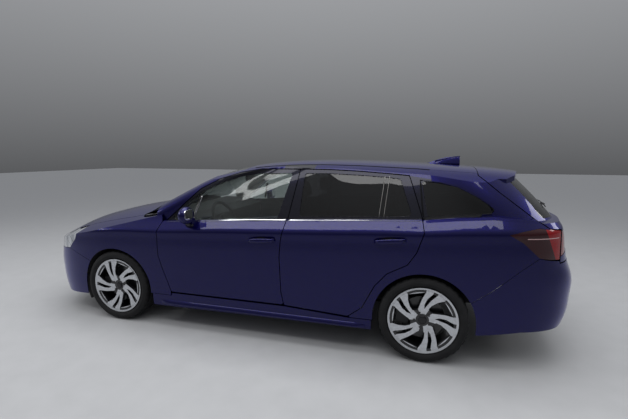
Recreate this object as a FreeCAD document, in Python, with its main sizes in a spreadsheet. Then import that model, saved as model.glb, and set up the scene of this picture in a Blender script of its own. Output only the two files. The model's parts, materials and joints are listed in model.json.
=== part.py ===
import FreeCAD, Part
import math
import os

import Sketcher
from FreeCAD import Placement, Rotation, Vector

# Station wagon, five doors, front engine. Millimetres, +X to the rear, +Y to the car's right, +Z up.
# The origin lies on the ground under the middle of the car.

doc = FreeCAD.newDocument("StationWagon")
sheet = doc.addObject("Spreadsheet::Sheet", "Sizes")

SIZES = {
    # overall
    "wheelbase": 2650,
    "front_overhang": 955,
    "rear_overhang": 1085,
    "half_width": 890,
    "belt_height": 1000,
    "roof_rise": 450,
    # wheels
    "track_front": 1530,
    "track_rear": 1540,
    "hub_height": 320,
    "tyre_radius": 320,
    "tyre_width": 225,
    "tyre_shoulder": 30,
    "tyre_flank": 42,
    "bead_radius": 230,
    "bead_half_width": 98,
    "flange_radius": 246,
    "flange_half_width": 104,
    "flange_width": 9,
    "barrel_radius": 218,
    "barrel_wall": 8,
    "face_setback": 14,
    "hub_face_offset": 55,
    "spoke_depth": 34,
    "disc_radius": 158,
    "disc_width": 26,
    "disc_offset": 30,
    "stud_circle": 114.3,
    "stud_radius": 7,
    "hub_bore_radius": 28,
    "arch_radius": 360,
    "arch_drop": 12,
    "liner_gap": 6,
    "liner_wall": 6,
    "liner_inset": 8,
    "kingpin_offset": 45,
    # hubs and axles
    "running_gap": 0.05,
    "thrust_gap": 0.5,
    "upright_half_length": 30,
    "upright_inner": 65,
    "upright_outer": 25,
    "upright_drop": 94.5,
    "upright_rise": 104.5,
    "bearing_radius": 50,
    "bearing_reach": 40,
    "spindle_reach": 61,
    "pin_radius": 9,
    "pin_length": 30,
    "pin_bore_length": 34,
    "caliper_outer": 188,
    "caliper_inner": 100,
    "caliper_half_height": 55,
    "caliper_inboard": 15,
    "caliper_outboard": 50,
    "caliper_slot": 34,
    "disc_clearance": 5,
    "bracket_half_height": 30,
    "arm_thickness": 20,
    "arm_half_width": 22,
    "arm_end_radius": 24,
    "strut_radius": 40,
    "rod_radius": 24,
    "beam_radius": 35,
    "spring_radius": 50,
    "pipe_radius": 28,
    "tailpipe_radius": 30,
    "silencer_radius": 88,
    "column_radius": 25,
    "column_pin_radius": 12,
    "column_pin_length": 18,
    "column_length": 150,
    "wheel_ring_radius": 172,
    "wheel_grip_radius": 15,
    "wheel_hub_radius": 58,
    "wheel_hub_half_depth": 22,
    "spoke_half_width": 18,
    "spoke_half_depth": 8,
    "seat_width": 500,
    "headrest_width": 260,
    "bench_width": 1240,
    "dash_width": 1300,
    "mirror_length": 58,
    "mirror_reach": 78,
    "mirror_height": 70,
    # body sheets and gaps
    "skin": 4,
    "bumper_wall": 5,
    "skirt_wall": 25,
    "hood_wall": 22,
    "hood_skin": 4,
    "roof_wall": 26,
    "pillar_wall": 62,
    "door_wall": 80,
    "frame_wall": 38,
    "tailgate_wall": 60,
    "glass": 4,
    "glass_setback": 6,
    "fixed_glass_setback": 2,
    "lamp_depth": 120,
    "shut_gap": 6.4,
    "frame_gap": 8,
    "seat_gap": 0.3,
    "panel_gap": 3,
    "flange_gap": 12,
    "flange_lap": 25,
    "flange_wall": 30,
    "overrun": 60,
    "hinge_depth": 15,
    "hinge_inset": 16,
    "front_hinge_back": 510,
    "rear_hinge_back": 1614,
    "hinge_pin_radius": 4.5,
    "hinge_pin_half": 26,
    "hinge_arm": 5,
    "hinge_arm_half_height": 9,
    "hinge_reach": 90,
    "post_wall": 60,
    "lamp_inset": 60,
    "belt_band": 20,
    "belt_shelf": 110,
    "grille_bar": 12,
    "grille_depth": 30,
    "cowl_depth": 60,
    "spoiler_wall": 34,
    "fin_half_width": 19,
    # body curves
    "screen_bow": 95,
    "tail_round": 380,
    "roof_side": 900,
    "deck_side": 960,
    "spoiler_depth": 60,
}

ROW = 1
for alias, value in SIZES.items():
    sheet.set(f"A{ROW}", alias)
    sheet.set(f"B{ROW}", str(value))
    sheet.setAlias(f"B{ROW}", alias)
    ROW += 1
doc.recompute()


class Size:
    """The sheet's values by name."""


for alias in SIZES:
    setattr(Size, alias, float(sheet.get(alias)))

FRONT_AXLE_X = (Size.front_overhang - Size.rear_overhang - Size.wheelbase) / 2
REAR_AXLE_X = FRONT_AXLE_X + Size.wheelbase
FAR = Size.wheelbase * 2


# Places on the body. Along: -1 is the nose, 0 the front axle, 1 the rear axle and 2 the tail.
# Up: 0 is the ground, 1 the belt line at the middle pillar and 2 the roof. Out: 1 is the widest point.


def along(share):
    if share < 0:
        return FRONT_AXLE_X + share * Size.front_overhang
    if share > 1:
        return REAR_AXLE_X + (share - 1) * Size.rear_overhang
    return FRONT_AXLE_X + share * Size.wheelbase


def up(share):
    if share <= 1:
        return share * Size.belt_height
    return Size.belt_height + (share - 1) * Size.roof_rise


def out(share):
    return share * Size.half_width


def smooth(pairs):
    """A smooth function through pairs of share and value, straight beyond its ends."""
    xs = [pair[0] for pair in pairs]
    ys = [pair[1] for pair in pairs]
    last = len(xs) - 1
    chords = [(ys[k + 1] - ys[k]) / (xs[k + 1] - xs[k]) for k in range(last)]
    slopes = [chords[0]]
    for k in range(1, last):
        before = xs[k] - xs[k - 1]
        after = xs[k + 1] - xs[k]
        slopes.append((chords[k - 1] * after + chords[k] * before) / (before + after))
    slopes.append(chords[-1])

    def value(x):
        if x <= xs[0]:
            return ys[0] + slopes[0] * (x - xs[0])
        if x >= xs[last]:
            return ys[last] + slopes[last] * (x - xs[last])
        k = max(i for i in range(last) if xs[i] <= x)
        span = xs[k + 1] - xs[k]
        t = (x - xs[k]) / span
        rise = ys[k + 1] - ys[k]
        return (
            ys[k]
            + span * slopes[k] * t
            + (3 * rise - span * (2 * slopes[k] + slopes[k + 1])) * t**2
            + (span * (slopes[k] + slopes[k + 1]) - 2 * rise) * t**3
        )

    return value


# Lower body: one skin from the middle of the nose round the side to the middle of the tail.

PLAN_SHARES = [
    (-1.0, 0.0), (-0.998, 0.17), (-0.992, 0.337), (-0.974, 0.494), (-0.938, 0.635), (-0.882, 0.736),
    (-0.806, 0.818), (-0.712, 0.882), (-0.586, 0.935), (-0.42, 0.97), (-0.22, 0.99), (0.0, 0.997),
    (0.11, 0.999), (0.317, 0.999), (0.562, 0.998), (0.789, 0.999), (0.925, 1.0), (1.0, 0.999),
    (1.203, 0.992), (1.387, 0.979), (1.535, 0.956), (1.659, 0.919), (1.76, 0.867), (1.843, 0.796),
    (1.906, 0.699), (1.947, 0.584), (1.977, 0.444), (1.994, 0.25), (2.0, 0.0),
]
CREASE_SHARES = smooth([(-1.0, 0.798), (0.0, 0.841), (0.525, 0.903), (1.0, 0.959), (2.0, 1.007)])
BELT_SHARES = smooth([
    (-1.0, 0.846), (0.0, 0.902), (0.16, 0.93), (0.498, 0.987), (0.618, 1.001), (0.867, 1.034),
    (0.989, 1.046), (1.398, 1.086), (1.56, 1.083), (1.7, 1.062), (2.0, 1.045),
])
# How far the side lies in from its widest line, by height: 1 is the crease and 2 the belt.
SIDE_TUCK_SHARES = smooth([
    (0.15, 0.040), (0.22, 0.029), (0.29, 0.0225), (0.38, 0.019), (0.48, 0.018), (0.58, 0.0135),
    (0.69, 0.008), (0.8, 0.0034), (0.89, 0.001), (0.96, 0.0), (1.0, 0.002), (1.15, 0.008),
    (1.5, 0.032), (2.0, 0.064), (2.35, 0.081), (4.0, 0.112),
])
NOSE_TUCK_SHARES = smooth([
    (0.15, 0.079), (0.2, 0.047), (0.26, 0.023), (0.34, 0.006), (0.42, 0.0), (0.5, 0.003),
    (0.58, 0.026), (0.65, 0.05), (0.72, 0.082), (0.78, 0.126), (0.84, 0.188), (0.95, 0.3),
    (1.2, 0.44),
])
TAIL_TUCK_SHARES = smooth([
    (0.15, 0.097), (0.25, 0.055), (0.31, 0.037), (0.38, 0.011), (0.45, 0.002), (0.54, 0.0),
    (0.64, 0.0), (0.7, 0.015), (0.78, 0.048), (0.85, 0.061), (0.95, 0.0765), (1.02, 0.0995),
    (1.2, 0.2),
])
FLOOR_SHARE = 0.15
TOP_SHARE = 1.2
BELOW_CREASE_SHARES = [0.267, 0.378, 0.5, 0.633, 0.756, 0.867, 0.955]
ABOVE_CREASE_SHARES = [0.12, 0.5, 1.0, 1.4]


def crease_z(share):
    return CREASE_SHARES(share) * Size.belt_height


def belt_z(share):
    return BELT_SHARES(share) * Size.belt_height


def lower_heights(share):
    crease = crease_z(share)
    rise = belt_z(share) - crease
    heights = [FLOOR_SHARE * Size.belt_height]
    heights += [crease * part for part in BELOW_CREASE_SHARES]
    heights += [crease + rise * part for part in ABOVE_CREASE_SHARES]
    top = TOP_SHARE * Size.belt_height
    return heights + [(heights[-1] + top) / 2, top]


def lower_tucks(share, z):
    crease = crease_z(share)
    level = z / crease
    if z > crease:
        level = 1 + (z - crease) / (belt_z(share) - crease)
    tall = z / Size.belt_height
    side = SIDE_TUCK_SHARES(level) * Size.half_width
    nose = NOSE_TUCK_SHARES(tall) * Size.front_overhang
    tail = TAIL_TUCK_SHARES(tall) * Size.rear_overhang
    return side, nose, tail


def lower_grid():
    places = [(along(s), out(w)) for s, w in PLAN_SHARES]
    last = len(places) - 1
    grid = []
    for i, (x, y) in enumerate(places):
        before = places[max(i - 1, 0)]
        after = places[min(i + 1, last)]
        run = Vector(after[0] - before[0], after[1] - before[1], 0)
        if i in (0, last):
            run = Vector(0, 1 if i == 0 else -1, 0)
        run.normalize()
        normal = Vector(-run.y, run.x, 0)
        share = PLAN_SHARES[i][0]
        column = []
        for z in lower_heights(share):
            side, nose, tail = lower_tucks(share, z)
            end = nose if normal.x < 0 else tail
            tuck = end * normal.x**2 + side * normal.y**2
            column.append(Vector(x - tuck * normal.x, -(y - tuck * normal.y), z))
        grid.append(column)
    return grid


# Hood and fender tops: one crowned sheet over the nose.

DECK_STATIONS = [-1.089, -1.0, -0.921, -0.796, -0.676, -0.482, -0.295, -0.069, 0.072, 0.147, 0.223]
DECK_CENTRE_SHARES = [0.64, 0.692, 0.744, 0.808, 0.860, 0.913, 0.954, 0.993, 1.028, 1.052, 1.07]
DECK_CREST_SHARES = [0.545, 0.59, 0.638, 0.69, 0.742, 0.812, 0.858, 0.903, 0.948, 0.985, 1.018]
DECK_CREST_OUT_SHARE = 0.81
DECK_CROWN_POWER = 2.3
DECK_OUT_SHARES = [0.0, 0.2, 0.4, 0.56, 0.7, 0.8, 0.88, 0.94, 1.0]


def deck_grid():
    grid = []
    for s, centre, crest in zip(DECK_STATIONS, DECK_CENTRE_SHARES, DECK_CREST_SHARES):
        column = []
        for w in DECK_OUT_SHARES:
            y = w * Size.deck_side
            fall = (centre - crest) * (y / out(DECK_CREST_OUT_SHARE)) ** DECK_CROWN_POWER
            column.append(Vector(along(s), -y, (centre - fall) * Size.belt_height))
        grid.append(column)
    return grid


# Greenhouse: one skin from the middle of the windscreen round the side glass to the rear glass.

GLASS_BASE_SHARES = smooth([
    (-0.01, 0.845), (0.166, 0.882), (0.298, 0.906), (0.449, 0.921), (0.6, 0.927), (0.751, 0.928),
    (0.902, 0.924), (1.037, 0.911), (1.267, 0.883), (1.452, 0.838), (1.682, 0.776),
])
SCREEN_CORNER_SHARES = smooth([
    (0.83, 0.002), (1.0, 0.116), (1.109, 0.152), (1.473, 0.271), (1.678, 0.344), (1.851, 0.426),
    (2.0, 0.498), (2.244, 0.619),
])
TAIL_GLASS_SHARES = smooth([
    (0.83, 1.958), (0.96, 1.924), (1.06, 1.892), (1.187, 1.85), (1.444, 1.752), (1.667, 1.66),
    (1.811, 1.6), (2.0, 1.52), (2.244, 1.416),
])
GREEN_HEIGHT_SHARES = [0.83, 0.94, 1.067, 1.256, 1.456, 1.656, 1.833, 2.0, 2.244]
SIDE_LEAN = 0.34
SIDE_LEAN_GROWTH = 0.1125
SCREEN_OUT_SHARES = [0.0, 0.3, 0.58, 0.78, 0.89]
SCREEN_BOW_POWER = 2.4
SCREEN_CORNER_POINTS_SHARES = [(0.15, 0.955), (0.58, 0.987), (1.37, 1.0)]
SIDE_SPREAD_SHARES = [0.25, 0.5, 0.75]
TAIL_ROUND_SHARES = [
    (1.25, 1.0), (0.95, 0.985), (0.7, 0.935), (0.48, 0.85), (0.29, 0.73), (0.14, 0.55),
    (0.04, 0.32), (0.0, 0.0),
]


def station_of(x):
    if x < FRONT_AXLE_X:
        return (x - FRONT_AXLE_X) / Size.front_overhang
    if x > REAR_AXLE_X:
        return 1 + (x - REAR_AXLE_X) / Size.rear_overhang
    return (x - FRONT_AXLE_X) / Size.wheelbase


def glass_y(x, z):
    rise = (z - Size.belt_height) / Size.roof_rise
    lean = SIDE_LEAN * rise + SIDE_LEAN_GROWTH * max(rise, 0) ** 2
    return out(GLASS_BASE_SHARES(station_of(x))) - lean * Size.roof_rise


def green_grid():
    columns = []
    for height in GREEN_HEIGHT_SHARES:
        z = up(height)
        corner_x = along(SCREEN_CORNER_SHARES(height))
        corner_y = glass_y(corner_x, z)
        bow = Size.screen_bow
        row = []
        for w in SCREEN_OUT_SHARES:
            row.append(Vector(corner_x - bow + bow * w**SCREEN_BOW_POWER, -w * corner_y, z))
        for a, w in SCREEN_CORNER_POINTS_SHARES:
            x = corner_x + a * bow
            row.append(Vector(x, -w * glass_y(x, z), z))
        start = row[-1].x
        tail_x = along(TAIL_GLASS_SHARES(height))
        end = tail_x - TAIL_ROUND_SHARES[0][0] * Size.tail_round
        for part in SIDE_SPREAD_SHARES:
            x = start + part * (end - start)
            row.append(Vector(x, -glass_y(x, z), z))
        end_y = glass_y(end, z)
        for a, w in TAIL_ROUND_SHARES:
            row.append(Vector(tail_x - a * Size.tail_round, -w * end_y, z))
        columns.append(row)
    return [[columns[j][i] for j in range(len(columns))] for i in range(len(columns[0]))]


# Roof: one crowned sheet.

ROOF_STATIONS = [-0.115, 0.185, 0.271, 0.328, 0.392, 0.449, 0.506, 0.562, 0.665, 0.789, 0.912, 1.083, 1.335, 1.544, 1.645, 1.793, 2.1]
ROOF_CENTRE_SHARES = [1.42, 1.57, 1.678, 1.762, 1.84, 1.909, 1.953, 1.98, 2.002, 1.997, 1.973, 1.94, 1.904, 1.862, 1.83, 1.77, 1.64]
ROOF_CROWN_SHARES = smooth([
    (-0.115, 0.08), (0.328, 0.1), (0.449, 0.112), (0.562, 0.12), (0.713, 0.125), (0.91, 0.138), (1.077, 0.147),
    (1.335, 0.16), (1.544, 0.178), (1.793, 0.19),
])
ROOF_EDGE_SHARES = smooth([
    (-0.115, 0.68), (0.328, 0.7), (0.449, 0.72), (0.6, 0.7325), (0.713, 0.7325), (0.902, 0.7225), (1.037, 0.7),
    (1.267, 0.68), (1.498, 0.66), (1.793, 0.62),
])
ROOF_CROWN_POWER = 4.6
ROOF_OUT_SHARES = [0.0, 0.2, 0.38, 0.52, 0.62, 0.7, 0.78, 0.88, 1.0]


def roof_grid():
    grid = []
    for s, centre in zip(ROOF_STATIONS, ROOF_CENTRE_SHARES):
        column = []
        for w in ROOF_OUT_SHARES:
            y = w * Size.roof_side
            reach = y / out(ROOF_EDGE_SHARES(s))
            fall = ROOF_CROWN_SHARES(s) * min(reach, 1.0) ** ROOF_CROWN_POWER
            fall += ROOF_CROWN_SHARES(s) * ROOF_CROWN_POWER * max(reach - 1.0, 0.0)
            column.append(Vector(along(s), -y, up(centre) - fall * Size.roof_rise))
        grid.append(column)
    return grid


def moved_in(grid, depth, level_ends):
    """The grid moved in along its own normals. level_ends keeps its first and last heights."""
    if depth == 0:
        return grid
    rows = len(grid) - 1
    cols = len(grid[0]) - 1
    result = []
    for i in range(rows + 1):
        line = []
        for j in range(cols + 1):
            du = grid[min(i + 1, rows)][j] - grid[max(i - 1, 0)][j]
            dv = grid[i][min(j + 1, cols)] - grid[i][max(j - 1, 0)]
            normal = du.cross(dv) if level_ends else dv.cross(du)
            if level_ends:
                if i in (0, rows):
                    normal.y = 0
                if j in (0, cols):
                    normal.z = 0
            else:
                if i in (0, rows):
                    normal.x = 0
                if j in (0, cols):
                    normal.y = 0
            normal.normalize()
            line.append(grid[i][j] - normal * depth)
        result.append(line)
    return result


def sewn(faces):
    shell = Part.makeShell(faces)
    shell.sewShape()
    solid = Part.makeSolid(shell)
    if solid.Volume < 0:
        solid.reverse()
    return solid


def solve(matrix, rows):
    """Solve matrix times unknowns = rows, where each row is a Vector."""
    size = len(matrix)
    a = [list(line) for line in matrix]
    b = [Vector(row) for row in rows]
    for k in range(size):
        pivot = max(range(k, size), key=lambda r: abs(a[r][k]))
        a[k], a[pivot] = a[pivot], a[k]
        b[k], b[pivot] = b[pivot], b[k]
        for r in range(k + 1, size):
            factor = a[r][k] / a[k][k]
            if factor:
                a[r] = [a[r][c] - factor * a[k][c] for c in range(size)]
                b[r] = b[r] - b[k] * factor
    for k in reversed(range(size)):
        for c in range(k + 1, size):
            b[k] = b[k] - b[c] * a[k][c]
        b[k] = b[k] * (1 / a[k][k])
    return b


def knots_for(params):
    inner = [sum(params[k + 1:k + 4]) / 3 for k in range(len(params) - 4)]
    return [params[0]] * 4 + inner + [params[-1]] * 4


def basis(knots, count, t):
    """The cubic basis values at t."""
    values = [1.0 if knots[i] <= t < knots[i + 1] else 0.0 for i in range(len(knots) - 1)]
    if t >= knots[-1]:
        values[count - 1] = 1.0
    for degree in (1, 2, 3):
        raised = []
        for i in range(len(knots) - 1 - degree):
            left = knots[i + degree] - knots[i]
            right = knots[i + degree + 1] - knots[i + 1]
            value = (t - knots[i]) / left * values[i] if left else 0.0
            value += (knots[i + degree + 1] - t) / right * values[i + 1] if right else 0.0
            raised.append(value)
        values = raised
    return values


def mean_params(lines):
    """Parameters from 0 to 1 by the mean chord length of several lines of points."""
    count = len(lines[0])
    steps = [0.0] * (count - 1)
    for line in lines:
        chords = [(line[k + 1] - line[k]).Length for k in range(count - 1)]
        total = sum(chords)
        steps = [step + chord / total for step, chord in zip(steps, chords)]
    params = [0.0]
    for step in steps:
        params.append(params[-1] + step / len(lines))
    params[-1] = 1.0
    return params


def poles_through(lines, params):
    """Poles of the cubic curves that pass through each line of points at the shared parameters."""
    knots = knots_for(params)
    matrix = [basis(knots, len(params), t) for t in params]
    return [solve(matrix, line) for line in lines]


def turned(grid):
    return [[row[j] for row in grid] for j in range(len(grid[0]))]


def surface_through(grid):
    """The smooth surface through a grid of points."""
    u_params = mean_params(turned(grid))
    v_params = mean_params(grid)
    poles = poles_through(grid, v_params)
    poles = turned(poles_through(turned(poles), u_params))
    surface = Part.BSplineSurface()
    u_knots = sorted(set(knots_for(u_params)))
    v_knots = sorted(set(knots_for(v_params)))
    u_mults = [4] + [1] * (len(u_knots) - 2) + [4]
    v_mults = [4] + [1] * (len(v_knots) - 2) + [4]
    surface.buildFromPolesMultsKnots(poles, u_mults, v_mults, u_knots, v_knots, False, False, 3, 3)
    return surface


def closed_face(*edges):
    return Part.Face(Part.Wire(Part.__sortEdges__(list(edges))))


def ring_solid(grid):
    """The left half of a body whose skin is the grid, closed below, above and on the middle plane."""
    surface = surface_through(grid)
    first_u, last_u, first_v, last_v = surface.bounds()
    nose_line = surface.uIso(first_u).toShape()
    tail_line = surface.uIso(last_u).toShape()
    low_line = surface.vIso(first_v).toShape()
    high_line = surface.vIso(last_v).toShape()
    low_chord = Part.makeLine(grid[-1][0], grid[0][0])
    high_chord = Part.makeLine(grid[-1][-1], grid[0][-1])
    low = closed_face(low_line, low_chord)
    high = closed_face(high_line, high_chord)
    middle = closed_face(nose_line, high_chord, tail_line, low_chord)
    return sewn([surface.toShape(), low, high, middle])


def sheet_solid(grid, floor):
    """The left half of the space under a sheet, down to the floor height."""
    surface = surface_through(grid)
    first_u, last_u, first_v, last_v = surface.bounds()
    corners = [grid[0][0], grid[-1][0], grid[-1][-1], grid[0][-1]]
    feet = [Vector(p.x, p.y, floor) for p in corners]
    lines = [surface.vIso(first_v), surface.uIso(last_u), surface.vIso(last_v), surface.uIso(first_u)]
    faces = [surface.toShape(), Part.Face(Part.makePolygon(feet + [feet[0]]))]
    for k, line in enumerate(lines):
        a, b = corners[k], corners[(k + 1) % 4]
        fa, fb = feet[k], feet[(k + 1) % 4]
        faces.append(closed_face(
            line.toShape(), Part.makeLine(b, fb), Part.makeLine(fb, fa), Part.makeLine(fa, a)
        ))
    return sewn(faces)


GRIDS = {"lower": lower_grid(), "green": green_grid(), "deck": deck_grid(), "roof": roof_grid()}
SOLIDS = {}


def body(name, depth=0.0):
    """One of the four body forms, moved in by a depth. Each is worked out once."""
    key = (name, depth)
    if key not in SOLIDS:
        ring = name in ("lower", "green")
        grid = moved_in(GRIDS[name], depth, ring)
        if ring:
            SOLIDS[key] = ring_solid(grid)
        else:
            SOLIDS[key] = sheet_solid(grid, up(FLOOR_SHARE))
    return SOLIDS[key]


def shifted(name, back, depth):
    """A body form shifted to the rear and towards the middle of the car."""
    key = (name, back, depth)
    if key not in SOLIDS:
        SOLIDS[key] = body(name).translated(Vector(back, depth, 0))
    return SOLIDS[key]


def inboard(name, depth):
    return shifted(name, 0.0, depth)


# Outlines and the prisms that they cut.


def side_points(shares):
    return [Vector(along(s), 0, up(t)) for s, t in shares]


def plan_points(shares):
    return [Vector(along(s), -out(w), 0) for s, w in shares]


def front_points(shares):
    return [Vector(0, -out(w), up(t)) for w, t in shares]


def rounded(points, radius):
    """A closed wire through the points, its corners rounded by a radius where there is room."""
    edges = []
    count = len(points)
    cuts = []
    for k in range(count):
        before, here, after = points[k - 1], points[k], points[(k + 1) % count]
        a = before - here
        b = after - here
        turn = a.getAngle(b)
        reach = radius / math.tan(turn / 2) if radius else 0.0
        reach = min(reach, 0.45 * a.Length, 0.45 * b.Length)
        a.normalize()
        b.normalize()
        start = here + a * reach
        end = here + b * reach
        middle = None
        if reach > 0 and math.pi - turn > 0.01:
            arc_radius = reach * math.tan(turn / 2)
            axis = a + b
            axis.normalize()
            middle = here + axis * (arc_radius / math.sin(turn / 2) - arc_radius)
        cuts.append((start, middle, end))
    for k in range(count):
        start, middle, end = cuts[k]
        if middle is None:
            edges.append(Part.makeLine(start, end) if (end - start).Length > 0 else None)
        else:
            edges.append(Part.Arc(start, middle, end).toShape())
        following = cuts[(k + 1) % count][0]
        edges.append(Part.makeLine(end, following))
    return Part.Wire([edge for edge in edges if edge is not None])


def prism(points, direction, radius=0.0, grow=0.0):
    """The outline, grown or shrunk, swept both ways from its plane and leaned by the direction."""
    wire = rounded(points, radius)
    if grow:
        wire = wire.makeOffset2D(grow, 2 if radius == 0 else 0)
    face = Part.Face(wire)
    face.translate(direction * -1)
    return face.extrude(direction * 2)


def side_prism(shares, radius=0.0, grow=0.0, slant=0.0):
    """Sweep a side outline through the left half. With a slant its inner end lies further forward."""
    points = [p + Vector(0, -Size.half_width, 0) for p in side_points(shares)]
    reach = Size.half_width
    return prism(points, Vector(-slant * reach, reach, 0), radius, grow)


def plan_prism(shares, radius=0.0, grow=0.0):
    return prism(plan_points(shares), Vector(0, 0, FAR), radius, grow)


def front_prism(shares, radius=0.0, grow=0.0):
    return prism(front_points(shares), Vector(FAR, 0, 0), radius, grow)


def block(x0, x1, y0, y1, z0, z1):
    return Part.makeBox(x1 - x0, y1 - y0, z1 - z0, Vector(x0, y0, z0))


def mirrored(shape):
    return shape.mirror(Vector(0, 0, 0), Vector(0, 1, 0))


def whole(half):
    """Join the left half with its mirror image across the middle plane."""
    return half.fuse(mirrored(half)).removeSplitter()


def pair(shape):
    return Part.makeCompound([shape, mirrored(shape)])


def keep_large(shape, least_share=0.01):
    """Drop the specks that trimming leaves and keep the real solids."""
    solids = shape.Solids
    largest = max(solid.Volume for solid in solids)
    kept = [solid for solid in solids if solid.Volume > least_share * largest]
    return kept[0] if len(kept) == 1 else Part.makeCompound(kept)


def publish(name, shape):
    feature = doc.addObject("Part::Feature", name)
    feature.Shape = shape
    feature.Label = name
    return feature


# Panel outlines in side view.

FRONT_DOOR_SHARES = [
    (0.185, 0.925), (0.306, 1.471), (0.366, 1.649), (0.434, 1.778), (0.502, 1.844), (0.632, 1.853),
    (0.611, 1.013), (0.596, 0.85), (0.591, 0.71), (0.594, 0.429), (0.603, 0.321), (0.215, 0.323),
    (0.187, 0.525), (0.175, 0.64), (0.175, 0.845),
]
REAR_DOOR_SHARES = [
    (0.611, 1.013), (0.632, 1.853), (0.713, 1.853), (0.804, 1.831), (0.887, 1.8), (0.951, 1.764),
    (0.977, 1.422), (0.991, 1.098), (0.995, 0.962), (0.978, 0.822), (0.955, 0.727), (0.902, 0.65),
    (0.87, 0.55), (0.836, 0.371), (0.796, 0.289), (0.603, 0.319), (0.594, 0.429), (0.591, 0.71),
    (0.596, 0.85),
]
FRONT_WINDOW_SHARES = [
    (0.198, 0.94), (0.312, 1.418), (0.372, 1.578), (0.438, 1.702), (0.502, 1.764), (0.61, 1.782),
    (0.58, 1.018),
]
REAR_WINDOW_SHARES = [
    (0.645, 1.053), (0.649, 1.782), (0.713, 1.787), (0.804, 1.769), (0.885, 1.742), (0.927, 1.716),
    (0.962, 1.138),
]
QUARTER_WINDOW_SHARES = [
    (1.007, 1.129), (0.983, 1.693), (1.074, 1.667), (1.188, 1.604), (1.306, 1.462), (1.389, 1.327),
    (1.419, 1.267), (1.396, 1.207),
]
FRONT_FRAME_SHARES = FRONT_DOOR_SHARES[:5] + [(0.655, 1.853), (0.634, 0.94), (0.19, 0.865)]
REAR_FRAME_SHARES = [
    (0.6, 0.945), (0.61, 1.853), (0.713, 1.853), (0.804, 1.831), (0.887, 1.8), (0.975, 1.757),
    (1.01, 1.42), (1.02, 1.098), (1.0, 0.975),
]
TAILGATE_SHARES = [
    (1.324, 2.267), (1.324, 1.778), (1.446, 1.529), (1.676, 1.109), (1.728, 1.027), (1.811, 1.0),
    (1.811, 0.775), (2.1, 0.775), (2.1, 2.267),
]
TAIL_LAMP_SHARES = [
    (1.483, 0.976), (1.568, 1.004), (1.66, 1.044), (1.728, 1.02), (1.806, 0.994), (1.806, 0.8),
    (1.744, 0.804), (1.67, 0.82), (1.569, 0.921),
]
TAILGATE_LAMP_SHARES = [(1.816, 0.99), (2.1, 0.972), (2.1, 0.9), (1.816, 0.82)]
TAILGATE_LAMP_INNER_SHARE = 0.52
HEAD_LAMP_SHARES = [
    (-1.1, 0.605), (-0.796, 0.603), (-0.578, 0.627), (-0.482, 0.715), (-0.429, 0.826),
    (-0.586, 0.788), (-0.728, 0.728), (-1.1, 0.69),
]
HEAD_LAMP_INNER_SHARE = 0.53
FRONT_BUMPER_SHARES = [
    (-1.1, 0.738), (-0.953, 0.738), (-0.87, 0.66), (-0.796, 0.603), (-0.578, 0.627), (-0.383, 0.562),
    (-0.3, 0.53), (-0.3, 0.202), (-0.383, 0.202), (-0.842, 0.164), (-1.1, 0.164),
]
REAR_BUMPER_SHARES = [
    (1.25, 0.44), (1.29, 0.48), (1.406, 0.575), (1.571, 0.735), (1.67, 0.816), (1.744, 0.8),
    (1.807, 0.79), (1.811, 0.77), (2.1, 0.77), (2.1, 0.3), (1.807, 0.296), (1.6, 0.29),
    (1.352, 0.249), (1.25, 0.249),
]
SKIRT_SHARES = [
    (0.142, 0.186), (0.142, 0.291), (0.2135, 0.291), (0.217, 0.313), (0.603, 0.310), (0.796, 0.278),
    (0.862, 0.279), (0.862, 0.201),
]
FENDER_SHARES = [
    (-0.8, 1.3), (-0.8, 0.55), (-0.4, 0.45), (0.0, 0.2935), (0.212, 0.2935), (0.212, 0.33), (0.25, 0.33),
    (0.25, 0.9), (0.188, 0.9), (0.166, 1.1), (0.166, 1.3),
]
QUARTER_SHARES = [
    (0.8, 1.3), (0.8, 0.283), (1.29, 0.283), (1.4, 0.4), (1.7, 0.6), (1.7, 1.0), (1.75, 1.05), (1.75, 1.3),
]
HOOD_PLAN_SHARES = [
    (-0.915, -0.05), (-0.915, 0.0), (-0.905, 0.3), (-0.86, 0.5), (-0.76, 0.66), (-0.6, 0.765),
    (-0.423, 0.799), (-0.085, 0.809), (0.098, 0.8), (0.092, 0.6), (0.084, 0.0), (0.084, -0.05),
]
SCREEN_FRONT_SHARES = [(-0.05, 0.9), (0.815, 0.9), (0.652, 1.851), (0.6, 2.1), (-0.05, 2.1)]
ROOF_PLAN_SHARES = [
    (0.4395, -0.05), (0.4395, 0.0), (0.4435, 0.652), (0.6, 0.662), (0.9, 0.648), (1.2, 0.615),
    (1.324, 0.6), (1.324, -0.05),
]
REAR_WINDOW_TOP_SHARES = [(-0.05, 1.09), (0.69, 1.13), (0.64, 1.35), (0.585, 1.70), (-0.05, 1.725)]
B_LOWER_SHARES = [(0.556, 0.25), (0.58, 1.2), (0.645, 1.2), (0.64, 0.25)]
A_POST_SHARES = [(0.148, 0.25), (0.148, 0.85), (0.2, 0.85), (0.2, 0.25)]
A_WALL_SHARES = [(0.148, 0.25), (0.148, 0.93), (0.165, 0.93), (0.165, 0.25)]
FENDER_SEAT_SHARES = [(0.148, 0.35), (0.148, 0.78), (0.165, 0.78), (0.165, 0.35)]
HINGE_HEIGHT_SHARES = (0.72, 0.83)
SILL_SHARES = [(0.148, 0.2), (0.148, 0.3), (0.86, 0.27), (0.86, 0.21)]
SILL_IN_SHARE = 0.8
FRAME_START_SHARE = 0.152
QUARTER_END_SHARE = 1.75
COWL_START_SHARE = 0.07
COWL_END_SHARE = 0.21
COWL_OUT_SHARE = 0.775
GRILLE_FRONT_SHARES = [(-0.02, 0.664), (0.42, 0.648), (0.5, 0.6), (0.4, 0.47), (-0.02, 0.46)]
INTAKE_FRONT_SHARES = [(-0.02, 0.36), (0.5, 0.36), (0.44, 0.24), (-0.02, 0.23)]
NOSE_LIMIT_SHARE = -0.6
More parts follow.
